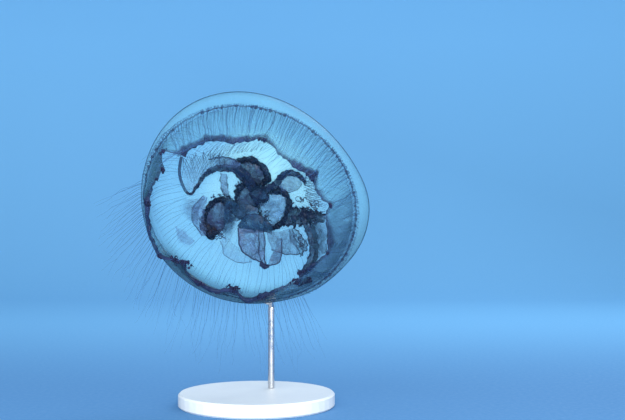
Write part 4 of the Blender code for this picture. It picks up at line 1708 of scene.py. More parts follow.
@dataclass
class Stomach:
    """The clear lens of jelly under the roof and the four-lipped mouth column."""

    form: BellForm
    gonads: Gonads
    foot: Span = (0.0045, -0.0065)
    roof_gap: float = 0.0011
    lips_height: float = 0.0018
    lips_grain: Span = (0.0012, 260.0)
    # painted light: pale colour of the lens film, a glow of light passing through
    clear: Colour = (0.56, 1.00, 1.00)
    flesh: Colour = (0.028, 0.075, 0.160)
    swellings: tuple[Span, ...] = ((0.0, 0.0034), (0.28, 0.0036), (0.50, 0.0066),
                                   (0.72, 0.0078), (0.90, 0.0068), (1.0, 0.0044))

    def lens(self, finish: Material, rows: int = 22, sides: int = 96) -> Piece:
        """The lens, all but clear, thinning out towards its border, with a pale painted glow that
        is stronger on the upper side.

        Args:
            finish: material of the piece.
            rows: rows of points.
            sides: points in a row.

        Returns:
            The finished piece.
        """
        turn = circle(sides)[None, :]
        share = np.linspace(1.0 / rows, 1.0, rows)[:, None]
        radius = self.gonads.stomach_radius * share * (1.0 + 0.02 * np.cos(4.0 * turn))
        top = self.form.roof_height(radius) - self.roof_gap
        low = self.gonads.floor(radius * 0.995)
        # painted light: the lens film is denser and reaches further out on the upper side
        lit = ramp(-0.1, 0.9, np.cos(turn - self.form.rim_azimuth))
        border = ramp(0.0, 1.0, (share - 0.45 - 0.30 * lit) / (0.53 - 0.30 * lit))
        veil = (0.10 + 0.18 * lit) * (1.0 - border) + 0.03
        rings = lined(polar(radius, turn, top), polar(radius, turn, low))
        poles = [(0.0, 0.0, float(level[0].mean())) for level in (top, low)]
        return Weave(self.form).loft(rings, self.clear, lined(veil, veil),
                                     poles).build("stomach_lens", finish)

    def column(self, finish: Material, rows: int = 46, sides: int = 72) -> Piece:
        """The mouth column with four folded lips.

        Args:
            finish: material of the piece.
            rows: rows of points.
            sides: points in a row.

        Returns:
            The finished piece.
        """
        share = np.linspace(0.0, 1.0, rows)[:, None]
        turn = circle(sides)[None, :]
        top = float(self.gonads.floor(np.array(math.hypot(*self.foot) + 0.004))) - 0.0003
        width = np.interp(share, *zip(*self.swellings))
        lips = 1.0 + (0.05 + 0.20 * ramp(0.3, 0.9, share)) * np.cos(4.0 * turn)
        frill = 0.08 * ramp(0.4, 1.0, share) * np.sin(26.0 * turn + 5.0 * share)
        rings = polar(width * (lips + frill) * 0.94, turn, mix(top, self.lips_height, share))
        rings = jitter(rings + np.array((*self.foot, 0.0)), *self.lips_grain, 5.0)
        crest = ramp(0.0, 1.0, np.cos(4.0 * turn) + 0.5 * blotches(rings, 200.0, 2.0))
        weave = Weave(self.form).loft(
            rings, mix(self.flesh, DARK, crest[..., None]), 0.50 + 0.34 * crest,
            (rings[0].mean(axis=0), rings[-1].mean(axis=0)))
        return weave.build("mouth_column", finish)


@dataclass(frozen=True)
class BandPlan:
    """A fleshy ruffled band, in millimetres: middle line, half widths, facing and ruffle."""

    path: Curve
    half: Point
    face: Point = (0.10, 0.60, 0.80)
    frill: float = 0.8
    waves: float = 9.0
    veil: float = 0.88
    tint: Colour = (0.009, 0.026, 0.062)
    rough: float = 0.6


@dataclass(frozen=True)
class VeilPlan:
    """A thin veil, in millimetres, between an attached border and a free one."""

    inner: Curve
    outer: Curve
    veil: float
    tint: Colour = HAZE
    edge: float = 1.0
    root: float = 0.0
    ruffle: float = 0.8
    waves: float = 3.0
    bulge: float = 0.0
    fade: float = 0.0


@dataclass(frozen=True)
class LacePlan:
    """Fine threads that cross each other between two lines, in millimetres."""

    inner: Curve
    outer: Curve
    count: int
    shift: float = 0.12


@dataclass(frozen=True)
class ArmPlan:
    """One mouth arm: its bands, its veils, its loose folds and its lace."""

    name: str
    bands: tuple[BandPlan, ...]
    veils: tuple[VeilPlan, ...]
    folds: tuple[tuple[Curve, float], ...] = ()
    laces: tuple[LacePlan, ...] = ()


SLEEVE: Curve = ((-1.7, -9.2, 10.0), (-18.8, -22.0, 10.0), (-31.0, -19.6, 10.5),
                 (-43.4, -11.2, 10.5), (-48.5, -0.3, 9.5), (-50.7, 8.0, 5.5),
                 (-52.8, 12.4, 1.0), (-57.2, 11.5, 1.5))
CORE: Curve = ((45.7, -5.8, 6.5), (54.3, 1.4, 3.0), (61.9, 10.3, -2.0), (66.3, 17.2, -9.0),
               (66.7, 25.8, -16.0), (64.8, 33.8, -22.0))
TRAIL: Curve = ((13.3, 25.2, 6.5), (18.0, 31.9, -1.0), (21.6, 36.5, -11.0),
                (28.7, 40.4, -21.0))
FRILL: Curve = ((39.1, 13.9, 6.0), (43.8, 19.2, 0.0), (52.4, 20.6, -8.0),
                (56.6, 21.7, -14.0))
SMUDGE: Curve = ((-58.5, 52.0, 8.0), (-49.0, 60.0, 8.0), (-43.0, 62.0, 8.0),
                 (-37.0, 60.0, 8.0))

ARMS: tuple[ArmPlan, ...] = (
    ArmPlan("arm_left", (
        BandPlan(SLEEVE, (4.4, 3.0, 0.8), (0.25, 0.35, 0.90)),
        BandPlan(((-31.5, -12.5, 12.0), (-28.5, -3.0, 12.5), (-24.0, 7.0, 13.0)),
                 (3.0, 3.8, 3.0), (0.1, 0.2, 1.0), 0.3, 2.0, 0.32, (0.09, 0.15, 0.29), 0.4),
        BandPlan(((-26.7, 10.3, 13.0), (-18.2, 12.8, 12.5), (-8.9, 18.3, 12.0),
                  (-0.2, 21.5, 11.0)), (3.6, 6.0, 4.0), (0.1, 0.2, 1.0), 1.4, 6.0, 0.70,
                 (0.012, 0.034, 0.070), 1.5),
    ), (
        VeilPlan(SLEEVE[1:4], ((-20.3, -28.9, 11.0), (-28.4, -30.6, 10.0),
                               (-38.6, -27.9, 9.5), (-47.8, -21.5, 9.0)),
                 0.46, MAUVE, 1.3, 0.0, 0.6, 5.0, 0.0, 0.85),
        VeilPlan(SLEEVE[1:], ((-36.9, -27.4, 10.5), (-52.3, -23.3, 10.0),
                              (-68.4, -18.4, 6.0), (-68.4, -6.0, 3.5), (-62.4, 5.3, 2.0),
                              (-57.2, 11.5, 1.5)), 0.12, HAZE, 0.0, 0.0, 1.0, 4.0, 2.0),
        VeilPlan(((-39.2, 17.7, 15.0), (-37.6, 29.3, 14.0), (-33.6, 42.3, 13.0),
                  (-25.9, 51.7, 12.0)),
                 ((-42.8, 16.7, 15.0), (-48.0, 30.4, 13.0), (-44.8, 44.2, 12.0),
                  (-33.1, 54.4, 12.0)), 0.28, (0.10, 0.18, 0.36), 0.8, 0.0, 0.4, 2.0, -2.0),
        VeilPlan(((-40.8, 18.3, 13.0), (-42.4, 30.2, 12.0), (-40.4, 41.2, 12.0)),
                 ((-60.7, 27.2, 12.0), (-58.4, 36.9, 11.0), (-48.8, 44.4, 11.0)),
                 0.20, MAUVE, 0.0, 0.0, 0.4, 2.0, -2.0),
        VeilPlan(SMUDGE, ((-58.5, 52.0, 8.0), (-47.5, 53.5, 8.0), (-37.0, 60.0, 8.0)),
                 0.15, (0.08, 0.10, 0.27), 0.0, 0.0, 0.4, 2.0),
        VeilPlan(SMUDGE, ((-58.5, 52.0, 8.0), (-52.5, 64.5, 8.0), (-43.0, 69.0, 8.0),
                          (-37.0, 60.0, 8.0)), 0.15, (0.08, 0.10, 0.27), 0.0, 0.0, 0.4, 2.0),
    ), (
        (((-70.1, -17.3, 5.0), (-69.2, -9.9, 4.0), (-67.5, -2.9, 3.0), (-63.4, 4.3, 2.0),
          (-58.4, 10.5, 2.0), (-54.5, 12.6, 1.5)), 2.8),
    ), (
        LacePlan(((-50.5, -31.0, -12.0), (-34.7, -39.0, -12.0), (-18.3, -50.7, -12.0),
                  (-4.8, -59.3, -12.0)),
                 ((-43.9, -53.6, -24.0), (-29.4, -61.5, -24.0), (-12.6, -70.3, -24.0),
                  (-0.2, -75.4, -24.0)), 15, 0.03),
        LacePlan(((-68.4, -17.6, 6.0), (-57.8, -27.0, 6.0), (-46.0, -33.0, 6.0),
                  (-29.0, -33.0, 8.0)),
                 ((-64.4, 2.0, 5.0), (-53.8, 3.5, 5.0), (-47.7, -5.6, 8.0),
                  (-36.4, -16.6, 10.0)), 16, 0.22),
    )),
    ArmPlan("arm_upper", (
        BandPlan(((6.1, -8.2, 10.0), (9.3, -15.6, 10.5), (14.7, -21.9, 10.8),
                  (16.8, -30.2, 10.5), (22.2, -37.3, 9.0), (30.1, -39.5, 7.0),
                  (39.2, -35.6, 4.0)), (2.8, 3.8, 1.2), (0.15, 0.40, 0.90)),
    ), (
        VeilPlan(((17.7, -21.5, 10.0), (19.5, -30.8, 9.5), (25.2, -36.7, 8.5),
                  (32.6, -37.7, 6.5)),
                 ((21.6, -17.9, 10.0), (28.5, -20.3, 9.0), (33.7, -25.1, 8.0),
                  (36.0, -33.3, 6.0)), 0.22, MAUVE, 0.6, 0.3, 0.5, 3.0),
    ), (), (
        LacePlan(((32.3, -38.9, 6.0), (38.2, -33.1, 4.0), (41.2, -24.6, 3.0),
                  (47.1, -18.3, 2.0)),
                 ((46.2, -47.1, -5.0), (51.5, -39.2, -5.0), (58.5, -31.9, -5.0),
                  (64.1, -26.0, -5.0)), 15),
    )),
    ArmPlan("arm_right", (
        BandPlan(((32.0, 3.3, 10.5), (40.9, 0.5, 8.5), (48.8, -5.0, 6.5), (57.3, -8.9, 4.0),
                  (64.8, -12.4, 1.5)), (9.5, 8.5, 3.0), frill=2.2, waves=7.0, veil=0.70,
                 tint=(0.010, 0.026, 0.052), rough=1.8),
        BandPlan(((42.7, -6.1, 7.5), (49.0, -7.5, 6.0), (55.6, -8.2, 4.0)), (3.6, 4.4, 2.4),
                 frill=1.2, waves=5.0, veil=0.90, tint=(0.007, 0.018, 0.042), rough=1.4),
        BandPlan(CORE, (4.6, 4.4, 3.4), frill=0.8, waves=5.0, veil=0.66,
                 tint=(0.014, 0.040, 0.085), rough=0.6),
        BandPlan(((62.5, 43.7, -27.0), (66.3, 38.6, -26.0), (72.9, 33.1, -26.0)),
                 (1.5, 4.0, 2.0), frill=1.0, waves=4.0, veil=0.86,
                 tint=(0.012, 0.022, 0.055), rough=1.2),
    ), (
        VeilPlan(((56.4, -3.2, 4.0), (61.6, 4.5, -1.0), (67.7, 11.9, -6.0),
                  (73.3, 14.5, -12.0)),
                 ((62.8, -15.5, 2.0), (69.5, -6.3, -3.0), (73.7, 3.9, -8.0),
                  (75.8, 13.5, -12.0)), 0.12, MAUVE, 0.8, 0.0, 1.0, 4.0),
        VeilPlan(CORE[1:], ((61.8, -15.1, -2.0), (71.5, -7.5, -10.0), (76.0, 2.7, -18.0),
                            (75.0, 18.5, -24.0), (68.0, 32.5, -25.0)), 0.46,
                 (0.028, 0.075, 0.135), 0.0, 0.0, 1.4, 5.0, 1.5),
    )),
    ArmPlan("arm_lower", (
        BandPlan(((25.5, 40.4, -19.0), (29.8, 40.4, -22.0), (34.1, 38.6, -22.0)),
                 (1.2, 3.4, 1.0), frill=0.6, waves=2.0, veil=0.90, tint=(0.012, 0.022, 0.055)),
    ), (
        VeilPlan(((-4.7, 29.7, 8.5), (-2.8, 20.2, 8.5), (5.2, 12.5, 8.5), (15.5, 12.4, 8.5),
                  (25.2, 19.1, 8.5)),
                 ((-1.3, 34.2, 7.5), (6.7, 31.3, 6.5), (14.7, 26.7, 6.5), (20.6, 24.5, 7.0),
                  (26.2, 24.9, 7.0)), 0.74, SMOKE, 0.9, 0.9, 0.7, 5.0, -2.0),
        VeilPlan(TRAIL, ((17.8, 24.3, 6.5), (23.0, 29.8, -1.0), (26.0, 35.7, -11.0),
                         (31.2, 39.4, -21.0)), 0.46, MAUVE, 1.2, 1.2, 0.5, 3.0, 1.0),
        VeilPlan(TRAIL, ((-4.0, 30.1, 6.0), (0.7, 37.2, -1.0), (6.8, 42.5, -8.0),
                         (15.4, 41.7, -14.0), (22.2, 39.6, -18.0), (31.0, 41.0, -22.0)),
                 0.44, (0.08, 0.15, 0.29), 1.4, 0.0, 0.8, 2.0, 3.0),
        VeilPlan(FRILL, ((43.4, 9.6, 5.5), (53.1, 12.8, -0.5), (59.1, 15.5, -8.0),
                         (57.7, 22.0, -14.5)), 0.26, SMOKE, 1.0, 1.0, 1.4, 6.0),
        VeilPlan(((-15.7, 15.3, 13.0), (-6.2, 8.5, 12.0), (6.7, 7.1, 11.5)),
                 ((-14.5, 31.5, 12.0), (-4.9, 24.4, 10.5), (9.1, 13.5, 9.5)),
                 0.50, (0.032, 0.080, 0.155), 0.7, 0.0, 1.2, 5.0, -2.0),
        VeilPlan(((-22.2, 10.0, 11.0), (-20.0, 24.0, 10.5), (-16.1, 37.5, 9.5),
                  (-10.4, 50.5, 8.0)),
                 ((-9.4, 8.8, 11.0), (-7.7, 21.0, 10.0), (-5.1, 32.8, 9.0),
                  (-4.2, 45.6, 8.0)), 0.70, SMOKE, 0.0, 0.0, 1.0, 4.0, -1.0, 0.90),
        VeilPlan(((32.5, 37.4, -21.5), (32.8, 32.4, -17.0), (33.3, 26.0, -11.0),
                  (31.8, 18.8, -6.0)),
                 ((33.9, 38.9, -21.5), (40.8, 33.1, -19.0), (40.2, 26.7, -12.0),
                  (35.1, 17.4, -6.0)), 0.44, (0.040, 0.080, 0.170), 1.3, 0.0, 0.5, 2.0,
                 0.0, 0.8),
        VeilPlan(((20.6, 23.4, 5.0), (32.0, 17.4, 5.0), (41.0, 10.1, 4.5)),
                 ((31.3, 32.0, -6.0), (43.3, 27.6, -12.0), (55.5, 20.5, -15.0)),
                 0.28, (0.06, 0.13, 0.24), 1.1, 0.0, 0.8, 3.0, 2.0),
        VeilPlan(((-11.8, 41.6, 5.0), (-0.1, 44.7, 0.0), (15.3, 44.2, -10.0)),
                 ((-14.6, 48.9, 6.0), (-8.0, 56.9, 0.0), (2.0, 56.7, -6.0),
                  (18.6, 45.2, -15.0)), 0.12, HAZE, 0.6, 0.0, 0.8, 3.0, 2.0),
    ), (
        (((41.3, 11.7, 5.7), (47.9, 17.4, 0.0), (56.4, 18.8, -8.0), (56.4, 23.6, -14.5)),
         0.8),
    )),
)
CURLS: tuple[tuple[Curve, int, float], ...] = (
    (((1.7, -4.8, 9.0), (9.0, 0.5, 9.0), (15.8, 10.4, 9.0), (22.0, 18.5, 9.0)), 22, 1.3),
    (((-17.7, -6.6, 10.0), (-10.0, -15.1, 10.0), (-0.3, -13.9, 10.0)), 8, 1.2),
    (((-36.7, 41.5, 13.0), (-30.8, 48.8, 13.0), (-22.6, 50.8, 13.0), (-15.8, 44.6, 13.0)),
     46, 1.8),
    (((-33.8, 15.9, 14.0), (-27.3, 8.9, 14.0), (-18.8, 8.0, 13.0)), 9, 1.2),
    (((47.3, 14.4, -2.0), (54.9, 15.3, -6.0), (59.0, 19.8, -10.0)), 12, 1.5),
    (((33.2, -8.6, 9.0), (39.7, -15.1, 8.0), (48.7, -16.8, 6.0), (59.0, -15.4, 3.0)), 22, 1.7),
)


@dataclass
class MouthArms:
    """The four frilled mouth arms."""

    form: BellForm
    band_rows: int = 130
    band_columns: int = 23
    veil_rows: int = 84
    veil_columns: int = 24
    film: float = 0.00016
    border: float = 0.00030
    core: float = 0.0008
    band_grain: float = 230.0
    veil_grain: Span = (0.0008, 170.0)
    curl_spread: float = 1.3
    plans: tuple[ArmPlan, ...] = ARMS
    edges: list[Strand] = field(default_factory=list)

    def band(self, weave: Weave, plan: BandPlan, seed: float) -> None:
        """Add one fleshy band.

        Args:
            weave: the arm it belongs to.
            plan: its path and widths.
            seed: seed of its folds.
        """
        along = np.linspace(0.0, 1.0, self.band_rows)
        back = 1.0 - along
        over = np.linspace(-1.0, 1.0, self.band_columns)
        spine = spline(plan.path, self.band_rows) * MILLI
        tangent = unit(np.gradient(spine, axis=0))
        wide = unit(np.cross(np.array(plan.face), tangent))
        thin = np.cross(tangent, wide)
        root, middle, tip = np.array(plan.half) * MILLI
        half = root * back ** 2 + middle * 2.0 * along * back + tip * along ** 2
        phase = plan.waves * TURN * along[:, None] + seed
        crimp = np.abs(over) ** 1.8 * (np.sin(phase + 1.3 * np.sign(over))
                                       + 0.5 * np.sin(2.7 * phase))
        crimp = plan.frill * MILLI * (crimp + 0.5 * np.sin(0.37 * phase) * np.cos(3.0 * over))
        scallop = 1.0 + 0.10 * np.sin(phase * 1.3 + 2.0 * over) + 0.06 * np.sin(2.9 * phase)
        sheet = (spine[:, None] + wide[:, None] * (half[:, None] * over * scallop)[..., None]
                 + thin[:, None] * crimp[..., None])
        sheet = jitter(sheet, plan.rough * MILLI, self.band_grain, seed)
        ends = np.clip(np.minimum(along, back) * 14.0, 0.12, 1.0)[:, None]
        rings = thicken(sheet, (self.border + self.core * bump(over, 0.0, 0.4)) * ends)
        border = ramp(0.62, 0.95, np.abs(folded(np.broadcast_to(over, sheet.shape[:2]))))
        patch = blotches(rings, 210.0, seed)
        dark = np.clip(0.8 * border + 0.45 * patch, 0.0, 1.0)
        veil = np.clip(plan.veil * (0.80 + 0.35 * patch) + 0.30 * dark, 0.25, 0.96)
        weave.loft(rings, mix(plan.tint, DARK, dark[..., None]), veil)

    def veil(self, weave: Weave, plan: VeilPlan, seed: float) -> None:
        """Add one thin veil and note its borders.

        Args:
            weave: the arm it belongs to.
            plan: its borders and thickness.
            seed: seed of its folds.
        """
        along = np.linspace(0.0, 1.0, self.veil_rows)[:, None]
        over = np.linspace(0.0, 1.0, self.veil_columns)[None, :]
        inner, outer = (spline(border, self.veil_rows)[:, None] * MILLI
                        for border in (plan.inner, plan.outer))
        sheet = mix(inner, outer, over[..., None])
        wave = plan.ruffle * over ** 1.6 * np.sin(TURN * plan.waves * along + 2.2 * over + seed)
        wave = wave + plan.bulge * np.sin(math.pi * over) * np.sin(math.pi * along)
        sheet = jitter(sheet + normals_of(sheet) * (wave * MILLI)[..., None],
                       *self.veil_grain, seed)
        patch = blotches(sheet, 120.0, seed + 2.0)
        streak = np.abs(np.sin(11.0 * along + 2.5 * np.sin(3.0 * over + seed))) ** 6
        veil = plan.veil * (0.85 + 0.45 * patch + 0.25 * streak)
        veil = veil + 0.30 * plan.edge * plan.veil * bump(over, 1.0, 0.14)
        veil = veil + 0.30 * plan.root * plan.veil * bump(over, 0.0, 0.14)
        if plan.edge == 0.0:
            veil = veil * (1.0 - ramp(0.5, 1.0, over))
        veil = np.clip(veil * (1.0 - plan.fade * ramp(0.25, 1.0, along)), 0.02, 0.95)
        weave.loft(thicken(sheet, np.full(sheet.shape[:2], self.film)), plan.tint,
                   folded(veil))
        for border, girth in ((-1, plan.edge), (0, plan.root)):
            if girth > 0.0:
                self.edges.append((self.form.place(sheet[:, border]), girth))

    def build(self, finish: Material) -> list[Piece]:
        """All four arms, each under its own name.

        Args:
            finish: material of the piece.

        Returns:
            One piece for each arm.
        """
        arms = []
        for index, plan in enumerate(self.plans):
            weave = Weave(self.form)
            for number, band in enumerate(plan.bands):
                self.band(weave, band, 1.9 * index + 0.7 * number)
            for number, veil in enumerate(plan.veils):
                self.veil(weave, veil, 2.3 * index + 1.1 * number)
            arms.append(weave.build(plan.name, finish))
        return arms

    def hems(self, tree: StrandTree, finish: Material) -> Piece:
        """The thickened dark hems along the borders of the veils."""
        return tree.grow("veil_hems", self.edges, finish, radii=(0.00044, 0.00044),
                         points=self.veil_rows, sides=5, wander=(0.0014, 190.0), seed=6.0)

    def lace(self, tree: StrandTree, finish: Material) -> Piece:
        """The fine crossing threads between the folds of the arms.

        Args:
            tree: the tree that draws the threads.
            finish: material of the piece.

        Returns:
            The finished piece.
        """
        dice = Seed.LACE.dice()
        strands = []
        for plan in (lace for arm in self.plans for lace in arm.laces):
            inner = spline(plan.inner, 100) * MILLI
            outer = spline(plan.outer, 100) * MILLI
            for k in range(2 * plan.count):
                start = (k // 2 + dice.uniform(0.1, 0.9)) / plan.count
                lean = plan.shift * (1.0 if k % 2 else -1.0) * dice.uniform(0.5, 1.5)
                along = start + lean * np.linspace(-0.5, 0.5, 16)
                pick = np.clip(along * 99.0, 0.0, 99.0).astype(int)
                share = np.linspace(dice.uniform(0.0, 0.15), dice.uniform(0.8, 1.0), 16)
                line = mix(inner[pick], outer[pick], share[:, None])
                strands.append((self.form.place(line), 1.0))
        return tree.grow("arm_lace", strands, finish, radii=(0.00024, 0.00018),
                         wander=(0.0012, 160.0), seed=12.0)

    def folds(self, tree: StrandTree, finish: Material) -> Piece:
        """Soft rolled folds that run free of any veil."""
        strands = [(self.form.place(spline(path, 60) * MILLI), girth)
                   for arm in self.plans for path, girth in arm.folds]
        return tree.grow("soft_folds", strands, finish, radii=(0.00050, 0.00050), points=60,
                         sides=8, wander=(0.0018, 110.0), seed=8.0)

    def curls(self, tree: StrandTree, finish: Material) -> Piece:
        """Loose little loops where the folds of arms and gonads crowd together.

        Args:
            tree: the tree that draws the threads.
            finish: material of the piece.

        Returns:
            The finished piece.
        """
        dice = Seed.CURLS.dice()
        strands = []
        for path, count, size in CURLS:
            where = spline(path, 100)[dice.integers(0, 100, count)]
            for spot in where + dice.normal(0.0, self.curl_spread, (count, 3)):
                curl = loose_loop(dice, (3.0, 6.5), 16, 0.12) * size * dice.uniform(0.6, 1.2)
                strands.append((self.form.place((spot + curl) * MILLI), 1.0))
        return tree.grow("fold_curls", strands, finish, radii=(0.00042, 0.00028))


# ------------------------------------------------------------------ the room
@dataclass(frozen=True)
class Lamp:
    """A soft square lamp: where it stands, how wide and strong it is, and its colour."""

    name: str
    place: Point
    size: float
    power: float
    colour: Colour

    def light(self, target: Vector) -> None:
        """Put it in the scene, turned to its target.

        Args:
            target: the point it is turned to.
        """
        data = bpy.data.lights.new(self.name, "AREA")
        data.size = self.size
        data.energy = self.power
        data.color = self.colour
        lamp = bpy.data.objects.new(self.name, data)
        bpy.context.scene.collection.objects.link(lamp)
        lamp.location = self.place
        aim = target - Vector(self.place)
        lamp.rotation_euler = aim.to_track_quat("-Z", "Y").to_euler()


@dataclass
class Studio:
    """Blue paper, soft lamps and the camera."""

    form: BellForm
    lens_length: float = 66.24
    sensor: float = 36.0
    view_from: Point = (0.0540, -1.0, -0.0049)
    air: Colour = (0.86, 0.93, 1.0)
    air_strength: float = 0.80
    floor_near: float = -2.2
    bend_start: float = 1.2
    bend_radius: float = 0.9
    wall_top: float = 3.2
    columns: tuple[float, ...] = (-3.0, -1.0, 1.0, 3.0)
    paper: PaperFinish = PaperFinish("studio_paper", roughness=0.7)
    lamps: tuple[Lamp, ...] = (
        Lamp("key_left", (-0.9, -1.3, 1.3), 1.2, 8.0, (1.0, 0.98, 0.95)),
        Lamp("fill_right", (1.2, -0.9, 0.7), 1.0, 4.5, (0.92, 0.96, 1.0)),
        Lamp("front_fill", (0.05, -1.45, 0.36), 0.50, 12.5, (0.98, 1.0, 0.97)),
        Lamp("uplight", (0.04, -1.00, 0.13), 0.20, 6.3, (0.98, 1.0, 0.97)),
        Lamp("back_top", (0.6, 0.8, 1.1), 0.9, 8.0, (0.95, 0.98, 1.0)),
    )

    def camera(self) -> None:
        """A level camera that looks along +Y."""
        lens = bpy.data.cameras.new("camera")
        lens.sensor_width = self.sensor
        lens.lens = self.lens_length
        lens.clip_start = 0.01
        viewer = bpy.data.objects.new("camera", lens)
        bpy.context.scene.collection.objects.link(viewer)
        viewer.location = Vector(self.form.centre) + Vector(self.view_from)
        viewer.rotation_euler = (QUARTER, 0.0, 0.0)
        bpy.context.scene.camera = viewer

    def sweep(self) -> None:
        """Floor and backdrop as one smooth sweep."""
        rows = [(y, 0.0) for y in np.linspace(self.floor_near, self.bend_start, 4)]
        for turn in np.linspace(0.0, QUARTER, 13)[1:]:
            rows.append((self.bend_start + self.bend_radius * math.sin(turn),
                         self.bend_radius * (1.0 - math.cos(turn))))
        rows.append((self.bend_start + self.bend_radius, self.wall_top))
        points = [(x, y, z) for y, z in rows for x in self.columns]
        wide = len(self.columns)
        faces = [(wide * r + c, wide * r + c + 1, wide * r + c + wide + 1, wide * r + c + wide)
                 for r in range(len(rows) - 1) for c in range(wide - 1)]
        mesh = new_mesh("studio_sweep", points, (), faces)
        mesh.shade_smooth()
        mesh.materials.append(self.paper.make())
        link(mesh)

    def build(self) -> None:
        """The whole room."""
        scene = bpy.context.scene
        world = bpy.data.worlds.new("studio_air")
        world.use_nodes = True
        background = world.node_tree.nodes["Background"]
        background.inputs["Color"].default_value = (*self.air, 1.0)
        background.inputs["Strength"].default_value = self.air_strength
        scene.world = world
        scene.view_settings.view_transform = "Standard"
        scene.cycles.transparent_max_bounces = 48
        self.sweep()
        for lamp in self.lamps:
            lamp.light(Vector(self.form.centre))
        self.camera()


# ------------------------------------------------------------------ putting it together
FINISHES: tuple[Finish, ...] = (
    JellyFinish("clear_jelly", roughness=0.34),
    StrandFinish("canal_blue", colours=((0.05, 0.16, 0.34), (0.04, 0.12, 0.28)),
                 veils=(0.22, 0.38)),
    StrandFinish("margin_line", colours=((0.020, 0.05, 0.14), (0.04, 0.12, 0.26)),
                 veils=(0.42, 0.12)),
    StrandFinish("ring_dark", colours=((0.030, 0.055, 0.14),), veils=(0.44,)),
    StrandFinish("feeler_blue", colours=((0.035, 0.10, 0.24), (0.07, 0.18, 0.38)),
                 veils=(0.38, 0.22)),
    StrandFinish("bulb_navy", colours=((0.028, 0.048, 0.115),), veils=(0.56,)),
    # painted shade: colour of the dark outline thread round the rim
    StrandFinish("rim_dark", colours=((0.015, 0.055, 0.115),), veils=(0.62,)),
    SatinFinish("sense_violet", roughness=0.38, gloss=0.12, light=(0.007, 0.012, 0.036),
                dark=(0.018, 0.018, 0.058)),
    StrandFinish("frill_navy", colours=((0.012, 0.018, 0.050), (0.016, 0.026, 0.070)),
                 veils=(0.85, 0.60)),
    JellyFinish("gonad_frill", roughness=0.40, relief=0.0003, grain=420.0),
    JellyFinish("pouch_film", roughness=0.30, cloud_scale=120.0, cloud_depth=0.30,
                vein_scale=120.0, vein_depth=0.35),
    JellyFinish("mouth_flesh", roughness=0.32, cloud_scale=110.0, cloud_depth=0.25,
                vein_scale=160.0, vein_depth=0.45),
    StrandFinish("filament_navy", colours=((0.012, 0.020, 0.050), (0.030, 0.045, 0.090)),
                 veils=(0.95, 0.75)),
    StrandFinish("hem_navy", colours=((0.018, 0.026, 0.070),), veils=(0.60,)),
    StrandFinish("lace_navy", colours=((0.025, 0.045, 0.11), (0.04, 0.09, 0.20)),
                 veils=(0.55, 0.35)),
    JellyFinish("stomach_clear"),
    StrandFinish("fold_smoke", colours=((0.020, 0.045, 0.105),), veils=(0.56,)),
    SatinFinish("base_satin", roughness=0.42, grain=600.0, gloss=0.3,
                light=(0.70, 0.74, 0.77), dark=(0.65, 0.69, 0.73)),
    SatinFinish("rod_steel", light=(0.62, 0.63, 0.65), dark=(0.52, 0.53, 0.56),
                metallic=1.0, brushed=True),
)


def make_finishes() -> dict[str, Material]:
    """Every material of the model by its name."""
    return {finish.name: finish.make() for finish in FINISHES}


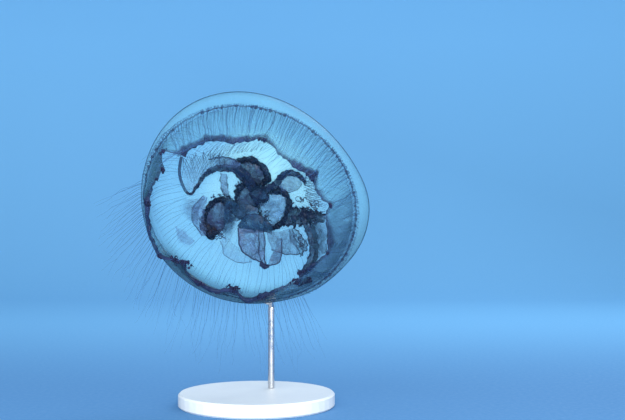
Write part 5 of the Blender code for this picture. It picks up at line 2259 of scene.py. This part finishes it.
@dataclass
class Model:
    """Every finished piece on its place."""

    form: BellForm = field(default_factory=BellForm)
    strands: StrandTree = field(default_factory=StrandTree)
    beads: BeadTree = field(default_factory=BeadTree)
    looks: dict[str, Material] = field(default_factory=make_finishes)

    def settle(self, piece: Piece, slot: Slot, *nodes: str) -> None:
        """Ride a piece on the body and hide the record's nodes that it stands for.

        Args:
            piece: the finished piece.
            slot: not used.
            *nodes: the record's nodes that it stands for.
        """
        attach(piece, "root")
        if nodes:
            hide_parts(*nodes)
        LOG.info("%s: %d faces", piece.name, len(piece.data.polygons))

    def bell(self) -> None:
        """The clear skin, and all that grows in and on its margin."""
        looks = self.looks
        skin = BellSkin(self.form)
        self.settle(skin.build(looks["clear_jelly"]), Slot.JELLY, "bell_dome",
                    *(f"margin_lobe_{k}" for k in range(1, 9)))
        canals = Canals(self.form, skin, self.strands)
        # painted shade: the dark outline thread round the rim
        self.settle(canals.rim(looks["rim_dark"]), Slot.JELLY)
        self.settle(canals.roof(looks["canal_blue"]), Slot.JELLY)
        self.settle(canals.band(looks["margin_line"]), Slot.MARGIN)
        self.settle(canals.ring(looks["ring_dark"]), Slot.MARGIN)
        self.settle(canals.beads(self.beads, looks["bulb_navy"]), Slot.MARGIN)
        fringe = Fringe(self.form, skin, self.strands)
        self.settle(fringe.build(looks["feeler_blue"]), Slot.MARGIN)
        senses = SenseOrgans(self.form, skin)
        self.settle(senses.build(looks["sense_violet"]), Slot.SENSE,
                    *(f"rhopalium_{k}" for k in range(1, 9)))
        self.settle(senses.frills(self.strands, looks["frill_navy"]), Slot.MARGIN)

    def organs(self) -> None:
        """Gonads, stomach and mouth column."""
        looks = self.looks
        gonads = Gonads(self.form)
        for plan in gonads.plans:
            self.settle(gonads.horseshoe(plan, looks["gonad_frill"]), Slot.GONAD, plan.name)
            self.settle(gonads.pouch(plan, looks["pouch_film"]), Slot.STOMACH)
        self.settle(gonads.filaments(self.strands, looks["filament_navy"]), Slot.GONAD)
        stomach = Stomach(self.form, gonads)
        self.settle(stomach.lens(looks["stomach_clear"]), Slot.STOMACH, "stomach")
        self.settle(stomach.column(looks["mouth_flesh"]), Slot.MOUTH, "manubrium")

    def arms(self) -> None:
        """The mouth arms with their hems, lace, folds and curls."""
        looks = self.looks
        arms = MouthArms(self.form)
        for arm in arms.build(looks["mouth_flesh"]):
            self.settle(arm, Slot.MOUTH, *(f"{arm.name}_{part}"
                                           for part in ("root", "middle", "tip")))
        for grow, look in ((arms.hems, "hem_navy"), (arms.lace, "lace_navy"),
                           (arms.folds, "fold_smoke"), (arms.curls, "filament_navy")):
            self.settle(grow(self.strands, looks[look]), Slot.MOUTH)

    def stand(self) -> None:
        """Better finishes for the stand's own nodes."""
        for node, look in (("stand_base", "base_satin"), ("stand_rod", "rod_steel")):
            mesh = bpy.data.objects[node].data
            mesh.materials.clear()
            mesh.materials.append(self.looks[look])
            LOG.info("%s: dressed", node)


def main() -> None:
    """Build the room and the model in order."""
    logging.basicConfig(level=logging.INFO, format="%(name)s: %(message)s")
    noise.seed_set(NOISE_SEED)
    model = Model()
    Studio(model.form).build()
    model.bell()
    model.organs()
    model.arms()
    model.stand()
    bpy.context.view_layer.update()


if __name__ == "__main__":
    main()
